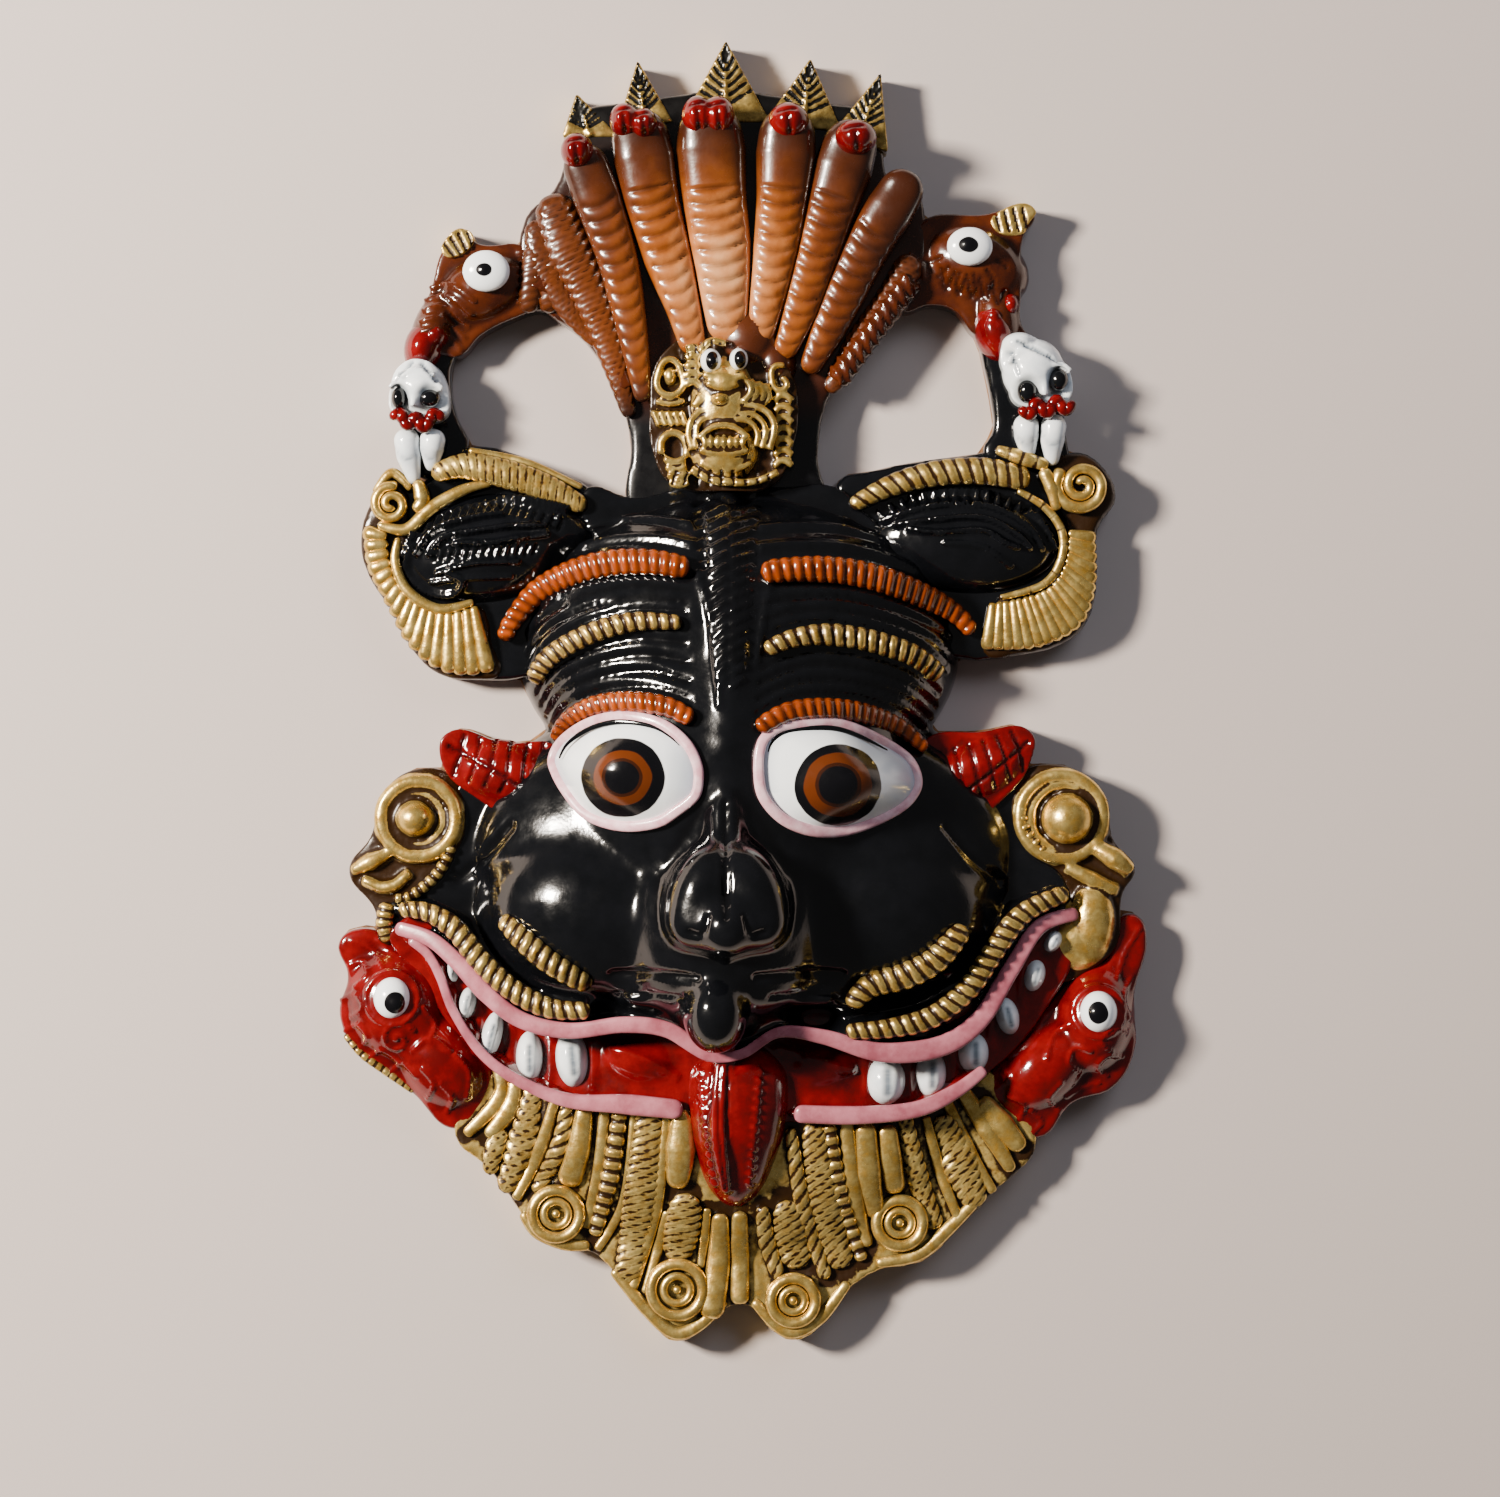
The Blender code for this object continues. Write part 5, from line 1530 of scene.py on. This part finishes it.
# %% Red leaves
LEFT_LEAF = [(-82, -11.5), (-66, -14), (-50, -16), (-50, -32), (-61, -35), (-74, -29), (-83, -20)]
RIGHT_LEAF = [(50, -14), (66, -11), (80, -11), (80, -19), (74, -28), (61, -36), (50, -30)]
clay = bmesh.new()
slab(clay, LEFT_LEAF, GROUND + 3)
slab(clay, RIGHT_LEAF, GROUND + 3)
ball(clay, (-66, -22, GROUND), (14, 9, 7), turn=-12)
ball(clay, (66, -21, GROUND), (14, 9, 7), turn=25)
leaves = fuse("red_leaves", clay, [hollow_cutter, below], grain=0.6)
veins = [([(-81, -15), (-68, -22), (-54, -31)], 1.0, 1.1), ([(79, -14), (68, -23), (56, -32)], 1.0, 1.1)]
for step in range(6):
    x = -78 + step * 4.4
    veins.append(([(x, -16.5 - step * 2.2), (x + 1.2, -12 - step * 0.4)], 0.9, 0.9))
    veins.append(([(x, -17.5 - step * 2.2), (x - 2.0, -23 - step * 1.6)], 0.9, 0.9))
    x = 77 - step * 4.0
    veins.append(([(x, -15.5 - step * 2.8), (x - 2.4, -11 - step * 1.2)], 0.9, 0.9))
    veins.append(([(x, -16.5 - step * 2.8), (x + 1.0, -22 - step * 2.2)], 0.9, 0.9))
incise(leaves, veins)
wash_and_shade_hollows(leaves, full=0.4)
keep(leaves, red_enamel)

# %% [markdown]
# The bosses are fused from rings, a button and two horns. Their flat ground is darkened, as wash and
# painted shade round the raised forms, and the rows of beads beside them are notched strands.

# %% Gold bosses
LEFT_BOSS = [
    (-88, -21), (-80, -24), (-76.5, -36), (-80, -47), (-90, -55), (-94, -66), (-99, -70), (-102, -60),
    (-109, -49.5), (-103, -40), (-99, -27),
]
RIGHT_BOSS = [
    (84, -20), (95, -23), (101, -32), (103, -41), (109, -49), (105.5, -56), (104, -70), (98, -76),
    (86, -79.5), (88, -66), (89, -52), (78, -43), (74.5, -33), (77, -23),
]
TRIM = GROUND + 2
clay = bmesh.new()
slab(clay, LEFT_BOSS, GROUND + 1)
slab(clay, RIGHT_BOSS, GROUND + 1)
ring(clay, (-89.5, -35, TRIM), 10.3, 2.2)
ring(clay, (-90, -35, TRIM), 7.0, 1.2)
ball(clay, (-90.5, -35, TRIM), (5.4, 5.2, 6.5))
rope(clay, [(-97, -44, TRIM), (-103, -47, TRIM), (-108, -49.5, TRIM - 1)], 2.4, ends=0.6)
rope(clay, [(-92, -50, TRIM), (-98, -54, TRIM), (-105, -52, TRIM)], 1.8, ends=0.7)
ring(clay, (88.5, -34.5, TRIM), 11.6, 1.8)
ring(clay, (89.2, -34.8, TRIM), 9.0, 1.1)
ball(clay, (90, -35, TRIM), (7.2, 7.2, 8))
rope(clay, [(98, -43, TRIM), (103, -46, TRIM + 1), (107.5, -49.5, TRIM)], 3.2, ends=0.7)
rope(clay, [(90, -48, TRIM), (97, -52, TRIM), (104, -55, TRIM)], 2.4, ends=0.7)
ball(clay, (97, -63, GROUND), (6.5, 11, 6))
ball(clay, (94, -67, GROUND - 1), (9.5, 11.5, 5.6), turn=-15)
bosses = fuse("gold_bosses", clay, [below], grain=0.68)
wash_and_shade_hollows(bosses, full=0.25)
wash_and_shade_below(bosses, GROUND + 2.0)
keep(bosses, gold_paint)

clay = bmesh.new()
beads = notches(2.6, lobe=1.0)
strand(clay, [(-110.4, -95, 10), (-105.5, -100.4, 10.6), (-98, -105.8, 10.6), (-91, -111, 10.4)],
       [0.8, 1.2, 1.2, 0.8], cut=notches(2.4, lobe=0.5), depth=0.4)
strand(clay, [(-80.5, -37, TRIM), (-81, -44, TRIM), (-85, -51, TRIM), (-92, -56.5, TRIM), (-97, -57, TRIM)],
       [1.5, 1.7, 1.8, 1.7, 1.3], tall=1.2, cut=beads, depth=0.6)
strand(clay, [(-98, -58, TRIM), (-99, -64, TRIM), (-98, -69.5, TRIM - 1)], [2.6, 2.6, 1.8],
       cut=notches(2.4, lobe=0.6), depth=0.4)
strand(clay, [(77.5, -31, TRIM), (78.5, -38, TRIM), (84, -44.5, TRIM)], [1.4, 1.7, 1.5],
       tall=1.2, cut=beads, depth=0.6)
boss_beads = to_piece("boss_beads", clay)
keep(boss_beads, gold_paint)

# %% [markdown]
# ## Mouth
# The mouth is a red trough under pink lips. Teeth stand free in it, painted white with a groove
# down the middle that is grey with painted shade, and a long tongue hangs over the beard.

# %% Mouth floor and lips
MOUTH_FLOOR = [
    (-97, -65), (-93, -76), (-87, -84), (-79.5, -94), (-69, -105), (-50, -113), (-20, -116), (20, -118),
    (50, -115), (70, -104), (84, -88), (92, -70), (88, -62), (60, -80), (0, -88), (-50, -80),
]
MOUTH_DEPTH = GROUND + 3


def floor_height(x, y):
    """How high the red floor of the mouth stands: it swells over the chin, under the tongue."""
    swell = 1 - ((x + 1) / 72.6) ** 2 - ((y + 112) / 50.6) ** 2
    return max(MOUTH_DEPTH, (GROUND + 11.8) * math.sqrt(max(swell, 0)))


clay = bmesh.new()
slab(clay, MOUTH_FLOOR, 60)
mouth_room = fuse("mouth_room", clay, [], grain=1.2)
clay = bmesh.new()
slab(clay, MOUTH_FLOOR, MOUTH_DEPTH)
ball(clay, (-1, -112, 0), (72.6, 50.6, GROUND + 11.8), sides=64)
ball(clay, (-27, -102, floor_height(-27, -102) - 4), (12, 6.5, 6.5), turn=-14, sides=28)
ball(clay, (21, -103.5, floor_height(21, -103.5) - 4), (12, 6.5, 6.5), turn=12, sides=28)
mouth = fuse("mouth_floor", clay, [hollow_cutter, below], grain=1.05, within=mouth_room)
GUMS = [
    (-73, -90), (-64, -98), (-53, -101), (-41, -102), (34, -104), (46, -106), (58.5, -102), (69, -94),
    (77.5, -83),
]
gums = [([(x, y + 6), (x, y - 6)], 1.5, -0.9) for x, y in GUMS]
for fold in ([(-36, -98), (-26, -101), (-18, -106)], [(10, -98), (20, -101), (30, -104)]):
    gums.append((fold, 1.8, -1.2))
incise(mouth, gums)
wash_and_shade_hollows(mouth, full=0.7)
keep(mouth, red_enamel)

clay = bmesh.new()
bank(clay, LOWER_LIP[:9], LIP_HALF + 1, lower_crest)
bank(clay, LOWER_LIP[9:], LIP_HALF + 1, lower_crest)
lip_bank = fuse("lip_bank", clay, [below], grain=1.1)
keep(lip_bank, red_enamel)

clay = bmesh.new()
strand(clay, [(x, y, lip_crest(x) + 0.3) for x, y in UPPER_LIP],
       [1.9, 2.2, 2.4, 2.4, 2.3, 2.2, 2.3, 2.2, 1.4, 1.4, 2.0, 2.5, 3.0, 2.9, 2.6, 2.4, 2.2, 1.9],
       tall=0.55, around=20, square=0.65)
left_run = [(x, y, lower_crest(x) + 0.2) for x, y in LOWER_LIP[:9]]
right_run = [(x, y, lower_crest(x) + 0.2) for x, y in LOWER_LIP[9:]]
strand(clay, left_run, [1.4, 1.3, 1.3, 1.5, 1.7, 2.2, 2.9, 2.7], tall=0.6, around=20, square=0.7)
strand(clay, right_run, [2.5, 2.6, 2.4, 2.2, 1.6], tall=0.6, around=20, square=0.7)
lips = to_piece("lips", clay)
keep(lips, pink_enamel)

# %% [markdown]
# Each tooth is one ball sunk in the floor, with a stroke cut in its middle that takes a grey painted
# shade. The tongue is a wide strand with a second, narrow one along its crest, and short strokes down
# both sides.

# %% Teeth and tongue
TEETH = [
    ((-80, -77), (1.4, 3.4), 8), ((-76, -86), (2.4, 4.5), -12), ((-69.3, -95), (2.8, 6.8), -14),
    ((-58.8, -101), (3.6, 7.2), 0), ((-46.8, -101.3), (4.4, 7.8), 6), ((39.5, -107), (5.2, 6.6), 0),
    ((52, -105.4), (4.2, 6.6), 0), ((64, -99.8), (4.1, 5.6), 0), ((73.4, -89.6), (3.1, 5.2), 14),
    ((80.9, -78.4), (2.8, 4.4), -16), ((86, -69), (2.2, 3.2), -30),
]
clay = bmesh.new()
for (mx, my), (rx, ry), turn in TEETH:
    ball(clay, (mx, my, floor_height(mx, my) - 1.5), (rx * 1.08, ry * 1.05, 7), turn=turn, sides=24)
teeth = fuse("teeth", clay, [below], grain=0.7)
# Each groove is darkened to the enamel's blue-grey: painted shade.
shaded_tooth_grooves = []
for (mx, my), (rx, ry), turn in TEETH:
    lean = math.radians(turn)
    dx, dy = -math.sin(lean) * ry * 0.45, math.cos(lean) * ry * 0.45
    shaded_tooth_grooves.append(([(mx + 0.1 * rx + dx, my + dy), (mx + 0.1 * rx - dx, my - dy)], rx * 0.38, 0.35))
incise(teeth, shaded_tooth_grooves)
keep(teeth, white_enamel)

clay = bmesh.new()
strand(clay, [(-1, -94, GROUND + 6), (-1, -110, GROUND + 8), (-1.5, -124, GROUND + 8),
              (-2, -142.5, GROUND + 4)], [10, 14.2, 14.2, 12.6, 9.5, 5.5], tall=0.9, around=32)
strand(clay, [(-4, -94, GROUND + 16), (-6, -115, GROUND + 19), (-5.4, -128, GROUND + 17.5),
              (-4, -138, GROUND + 12)], [2.6, 3.0, 2.6, 1.6])
tongue = fuse("tongue", clay, [below], grain=0.7)
strokes = [([(-8, -102), (-9, -118), (-6.5, -134)], 0.8, 0.8),
           ([(-6, -102), (-6.6, -118), (-4.5, -136)], 0.7, 0.6),
           ([(-3.6, -102), (-4, -118), (-2.8, -136)], 0.8, 0.8)]
for step in range(13):
    y = -103 - step * 2.6
    strokes.append(([(-12.2 + step * 0.32, y), (-11.2 + step * 0.32, y - 0.9)], 1.1, -0.9))
    strokes.append(([(4.4 - step * 0.22, y), (5.2 - step * 0.22, y - 0.9)], 1.1, -0.9))
incise(tongue, strokes)
wash_and_shade_hollows(tongue, full=0.5)
keep(tongue, red_enamel)

# %% [markdown]
# ## Red heads at the jaw
# Two red heads rise at the corners of the jaw, each with a round staring eye and curled whiskers.

# %% Jaw heads
LEFT_HEAD = [
    (-112, -69), (-104, -65.5), (-94, -71), (-85, -75), (-82, -85), (-75, -96), (-69, -104),
    (-71, -114), (-79, -121.5), (-92, -111), (-106, -101), (-112, -89), (-109.5, -79),
]
RIGHT_HEAD = [
    (105, -62.5), (110, -62), (112.5, -68), (109, -84), (109, -100), (103, -110), (92, -114),
    (82, -124), (74, -118), (68, -110), (73, -100), (83, -89), (92, -79.5), (101, -74.5),
]
clay = bmesh.new()
slab(clay, LEFT_HEAD, GROUND)
slab(clay, RIGHT_HEAD, GROUND)
ball(clay, (-96, -87, LOW), (14.5, 17, 14), turn=20, sides=32)
ball(clay, (-84, -102, LOW), (12, 17, 13), turn=38, sides=32)
ball(clay, (98, -91, LOW), (11.5, 16.5, 14), turn=-8, sides=32)
ball(clay, (84, -104, LOW), (11, 16, 13), turn=-42, sides=32)
jaw_heads = fuse("jaw_heads", clay, [below], grain=0.72)
soften_above(jaw_heads, GROUND - 4, 14)
CURLS = [
    [(-109, -76), (-105.5, -74.5), (-103.5, -78), (-107, -81.5)],
    [(-111, -85.5), (-107, -83.5), (-104.5, -87), (-108, -90)],
    [(-110, -94), (-106.4, -92), (-103.6, -95.4), (-106, -98.6)], [(-108, -69), (-103, -71), (-99.6, -75.6)],
    [(-101, -68.6), (-96, -73), (-90, -75)], [(-104, -102), (-99.6, -99), (-95, -102.4)],
    [(-98, -106), (-94, -102.6), (-90, -106)], [(-91, -99), (-86, -95.4), (-80.6, -99)],
    [(-88, -104), (-85, -108), (-87, -112.4)], [(-83, -108), (-80, -112), (-82, -116.4)],
    [(-79, -100), (-75.4, -105), (-76, -112)], [(-88, -87), (-85, -91.6), (-86, -96)],
    [(110, -66), (106.4, -72), (104, -79)], [(108, -79), (105.4, -84.6), (107, -90)],
    [(106, -94), (102, -92.8), (99, -96), (102, -99.4)],
    [(105.4, -101), (101, -100.4), (98.4, -103.4), (101, -106.4)],
    [(96, -99), (92, -98), (90, -102), (93, -105)], [(90, -92), (86, -95), (84, -101)],
    [(99, -108.4), (94, -109.6), (90, -112)], [(88, -108), (85, -112), (88, -116)],
    [(71, -103), (74, -106.4), (71, -110)], [(74, -112), (78, -114), (77, -118.4)],
    [(80, -116), (83, -119), (81, -122)], [(84, -90), (80, -96), (74, -101)],
    spiral(-95, -95.8, 0, 4.6, 1.4, 0.5), circle((-96.5, -84.5, 0), 7.3, 12) + [(-89.2, -84.5, 0)],
    circle((98.3, -88.3, 0), 7.0, 12) + [(105.3, -88.3, 0)],
]
incise(jaw_heads, [(line, 1.0, -0.75) for line in CURLS])
wash_and_shade_hollows(jaw_heads, full=0.45)
keep(jaw_heads, red_enamel)

for side, centre, pupil in (
        ("left", (-96.5, -84.5), (-95.4, -85.4)), ("right", (98.3, -88.3), (97.8, -88.2))):
    name = f"{side}_jaw_eye"
    paint = eye_paint(f"{name}_paint", pupil, [(2.9, BLACK_RING), (14, EYE_WHITE)], stretch=(0.95, 1.05))
    painted_eye(name, centre, (5.2, 5.9, 5), GROUND + 6, paint, iris=(pupil, (2.8, 0.4)))

# %% [markdown]
# ## Beard
# The beard is a fan of locks cut in five ways: smooth, notched like rope, beaded, hatched like a
# feather, and coiled at the ends. The ground between them is dark, as wash and painted shade.

# %% Beard ground
BEARD = [
    (-80, -122), (-71, -132), (-64, -141), (-58, -149), (-50, -154), (-41, -156), (-33, -165),
    (-26, -174), (-19, -180.4), (-12, -178), (-4, -171), (2, -170.5), (8, -177), (14, -180),
    (22, -176), (30, -165.5), (38, -160.5), (50, -158), (60, -149), (70, -139), (82, -124),
    (66, -104), (20, -112), (-20, -112), (-66, -104),
]


def beard_height(x, y):
    """How high the beard's ground stands: it swells under the chin."""
    swell = 1 - ((x + 1) / 72) ** 2 - ((y + 112) / 50) ** 2
    return max(GROUND, (GROUND + 11) * math.sqrt(max(swell, 0)))


clay = bmesh.new()
slab(clay, BEARD, GROUND)
ball(clay, (-1, -112, 0), (72, 50, GROUND + 11), sides=64)
beard_ground = fuse("beard_ground", clay, [hollow_cutter, below], grain=1.35)

# %% [markdown]
# The locks run from the lip to the beard's edge, each with its widths and its kind of cut. Where a
# lock lies, the ground beside it is cut a little deeper and darkened, as wash and painted shade at
# the lock's foot. Coils close four locks, and a plain bead runs along the beard's lower edge.

# %% Beard locks
SMOOTH, ROPED, BEADED, HATCHED, FEATHER = "smooth", "roped", "beaded", "hatched", "feather"
LOCK_CUTS = {
    SMOOTH: (None, 0.0, 0.8),
    ROPED: (notches(4.0, slant=2.2, lobe=0.5), 0.45, 0.9),
    BEADED: (notches(3.6, lobe=0.8), 0.6, 1.0),
    HATCHED: (notches(2.5, slant=2.4, lobe=0.55), 0.5, 0.5),
    FEATHER: (notches(3.4, vee=3.4, lobe=0.5), 0.5, 0.6),
}
LOCKS = [
    ([(-68, -104), (-67, -112), (-77, -123)], [1.4, 1.9, 1.2], SMOOTH),
    ([(-63, -108), (-64, -115), (-71, -123.5)], [1.6, 2.4, 1.4], SMOOTH),
    ([(-67, -122), (-69, -128), (-70, -134)], [2.0, 2.6, 1.6], FEATHER),
    ([(-58, -111), (-60, -122), (-66, -139)], [2.0, 3.8, 2.4], FEATHER),
    ([(-52, -114), (-56, -127), (-63, -141)], [1.2, 1.7, 1.2], SMOOTH),
    ([(-48.5, -116), (-50.5, -126), (-57.5, -139)], [1.8, 2.4, 1.6], ROPED),
    ([(-43.5, -116), (-45, -126), (-48.5, -137)], [2.0, 2.8, 3.0], SMOOTH),
    ([(-38, -117), (-39.5, -132), (-43.5, -149)], [1.3, 1.5, 1.2], SMOOTH),
    ([(-34, -118), (-36, -132), (-41, -151)], [1.9, 2.3, 1.7], BEADED),
    ([(-30, -118), (-32.5, -140), (-40.5, -155)], [0.9, 1.1, 1.0], SMOOTH),
    ([(-25.5, -119), (-28, -140), (-32, -164)], [3.4, 4.4, 3.2], HATCHED),
    ([(-21, -119), (-23.5, -142), (-30.5, -166)], [1.1, 1.4, 1.1], SMOOTH),
    ([(-16.5, -117), (-17, -128), (-18, -137)], [2.2, 3.6, 2.4], SMOOTH),
    ([(-15, -138), (-16.5, -148), (-18.5, -158)], [3.8, 4.4, 3.6], HATCHED),
    ([(-20.5, -143), (-23.5, -155), (-27, -167)], [1.0, 1.2, 1.0], SMOOTH),
    ([(-9.5, -142), (-10.5, -152), (-11.5, -160)], [0.9, 1.2, 0.9], SMOOTH),
    ([(-6, -143.5), (-6.5, -158), (-9, -174)], [1.8, 2.8, 3.2], SMOOTH),
    ([(-0.6, -143), (-0.6, -156), (-0.6, -170)], [1.8, 2.2, 2.2], SMOOTH),
    ([(5.5, -141.5), (7, -152), (10.5, -163)], [1.6, 2.2, 1.6], ROPED),
    ([(12, -140), (13.5, -150), (16, -160)], [3.0, 4.2, 3.6], HATCHED),
    ([(14, -124), (17, -142), (23.5, -163)], [1.4, 2.1, 1.6], ROPED),
    ([(20, -123), (23, -142), (28, -160)], [2.6, 4.2, 3.2], HATCHED),
    ([(24.5, -122), (27, -138), (33.5, -158)], [1.6, 2.1, 1.5], BEADED),
    ([(29, -121), (31, -138), (35, -154)], [1.6, 2.0, 1.4], SMOOTH),
    ([(34, -121), (35, -134), (37.5, -146)], [2.4, 3.0, 2.0], SMOOTH),
    ([(40, -121), (41, -130), (42.5, -139)], [2.2, 2.8, 2.4], SMOOTH),
    ([(45.5, -120), (48.5, -134), (54, -149)], [1.8, 2.8, 2.2], FEATHER),
    ([(51.5, -120), (55, -133), (60.5, -147)], [1.0, 1.4, 1.1], SMOOTH),
    ([(56, -120), (61, -132), (65.5, -143)], [2.6, 4.6, 3.0], HATCHED),
    ([(57.5, -115), (63.5, -128), (70, -139)], [1.2, 1.6, 1.1], SMOOTH),
    ([(62, -112), (68, -121), (75, -133)], [1.8, 2.4, 1.4], SMOOTH),
    ([(67, -114), (72, -120), (78, -127)], [2.2, 3.0, 2.0], SMOOTH),
]
ROOT_REACH = 1.25         # a lock that starts at the lip starts this share of its first half farther in
LOCK_SWELL = 1.22         # all locks are this much wider than the widths above
GAP_REACH = 1.7           # how far the cut gap reaches past a lock
clay = bmesh.new()
gaps = []
for line, widths, kind in LOCKS:
    cut, depth, tall = LOCK_CUTS[kind]
    if line[0][1] > -125:
        line = [between(line[1], line[0], ROOT_REACH), *line[1:]]
    laid, _ = smooth_line(line, 6.0)
    points = [(x, y, beard_height(x, y) + 0.2) for x, y in laid]
    wide = [LOCK_SWELL * half for half in widths]
    strand(clay, points, wide, tall=tall, cut=cut, depth=depth, around=16, step=0.65, square=0.8)
    gaps.append((line, max(wide) + GAP_REACH, 0.4))
incise(beard_ground, gaps)
keep(beard_ground, gold_paint)
for edge in (
        [(-36, -160), (-27, -170.5), (-19, -177.5), (-12, -175.5), (-4.5, -168.5)],
        [(3, -168.5), (9, -175), (14.5, -177.4), (22, -173), (29.5, -163.5)],
        [(-61, -144), (-57, -149.5), (-49, -153), (-42, -153.5)],
        [(37, -158.5), (49, -155.8), (58, -148), (66, -140)]):
    strand(clay, [(x, y, GROUND) for x, y in edge], [1.4, 2.0, 2.0, 1.4], tall=0.8)
BEARD_CIRCLES = [((-51.5, -144.5), 6.6), ((-18, -165.5), 7.2), ((43.7, -147), 6.4), ((14.2, -168.5), 6.2)]
for (mx, my), radius in BEARD_CIRCLES:
    for share, thick in ((1.0, 1.7), (0.52, 1.2)):
        strand(clay, circle((mx, my, GROUND + 1.5), radius * share, 10), [thick], closed=True, tall=1.2)
    strand(clay, [(mx - 1.3, my, GROUND + 1.6), (mx + 1.3, my, GROUND + 1.6)], [1.3, 1.3])
locks = to_piece("beard_locks", clay)
keep(locks, gold_paint)

# %% [markdown]
# ## The back
# The back is flat bare wood with a wide hollow behind the face. The CAD solid already has that
# form, so its lowest slice is cut from a copy of its mesh, and the hollow gets a thin lining
# with gouge marks.

# %% Back board and hollow lining
clay = bmesh.new()
clay.from_mesh(bpy.data.objects["mask"].data)
bmesh.ops.remove_doubles(clay, verts=clay.verts[:], dist=1e-6)
everything = clay.verts[:] + clay.edges[:] + clay.faces[:]
bmesh.ops.bisect_plane(clay, geom=everything, plane_co=at(0, 0, BOARD), plane_no=(0, 0, 1), clear_outer=True)
bmesh.ops.triangle_fill(clay, edges=[e for e in clay.edges if e.is_boundary], use_beauty=True)
board = to_piece("back_board", clay)
board.data.shade_flat()
keep(board, bare_wood)

inner = domes_less(WALL + 0.2, "hollow_inner", 2.4)
lining = domes_less(WALL - 1.6, "hollow_lining", 2.4, [inner, block_below(BOARD - 0.5)])
keep(lining, bare_wood)

# %% [markdown]
# ## Floor, light and camera
# The mask lies on a plain pale floor. The photograph was lit from the left and a little above,
# so the key light stands there, small enough for sharp lights on the enamel, and a large weak
# light fills the rest.

# %% Floor
clay = bmesh.new()
bmesh.ops.create_grid(clay, x_segments=8, y_segments=8, size=3.0)
mesh = bpy.data.meshes.new("floor")
clay.to_mesh(mesh)
clay.free()
floor = bpy.data.objects.new("floor", mesh)
bpy.context.scene.collection.objects.link(floor)
backdrop, _, shader, _, _ = new_paint("pale_backdrop_paper")
shader.inputs["Base Color"].default_value = linear("#b5aaa5")
shader.inputs["Roughness"].default_value = 0.85
floor.data.materials.append(backdrop)
floor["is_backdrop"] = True

# %% [markdown]
# The camera stands a metre over the mask, as the photographer stood before it, and its lens is chosen
# so that the frame spans the same width as the photograph does.

# %% Lights and camera
def area_light(name, place, size, power, colour, mirrored=True):
    """An area light aimed at the mask's middle; one that isn't mirrored gives no lights on gloss."""
    lamp = bpy.data.lights.new(name, "AREA")
    lamp.size = size
    lamp.energy = power
    lamp.color = linear(colour)[:3]
    holder = bpy.data.objects.new(name, lamp)
    holder.location = place
    holder.rotation_euler = (-Vector(place)).to_track_quat("-Z", "Y").to_euler()
    holder.visible_glossy = mirrored
    bpy.context.scene.collection.objects.link(holder)


area_light("key", (-0.95, 0.30, 0.85), 0.2, 68, "#fff4e6")
area_light("fill", (0.75, 0.95, 1.1), 0.8, 9, "#e6eeff", mirrored=False)
world = bpy.data.worlds.new("studio")
world.use_nodes = True
world.node_tree.nodes["Background"].inputs["Color"].default_value = linear("#d8d4d2")
world.node_tree.nodes["Background"].inputs["Strength"].default_value = 0.13
bpy.context.scene.world = world

SEEN_WIDTH = 417 * UNIT   # what the photograph's width spans at the height of the face
FACE_LEVEL = 9 * UNIT
DISTANCE = 1.0
lens = bpy.data.cameras.new("camera")
lens.sensor_width = 36
lens.lens = 36 * DISTANCE / SEEN_WIDTH
camera = bpy.data.objects.new("camera", lens)
camera.location = (2.2 * UNIT, -15.6 * UNIT, FACE_LEVEL + DISTANCE)
bpy.context.scene.collection.objects.link(camera)
bpy.context.scene.camera = camera
print("lens:", round(lens.lens, 1), "mm")

# %% [markdown]
# ## Sizes
# The box of all pieces is measured once more and printed.

# %% Sizes and finish
low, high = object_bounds()
print("visual box:", [round(v, 4) for v in low], [round(v, 4) for v in high])
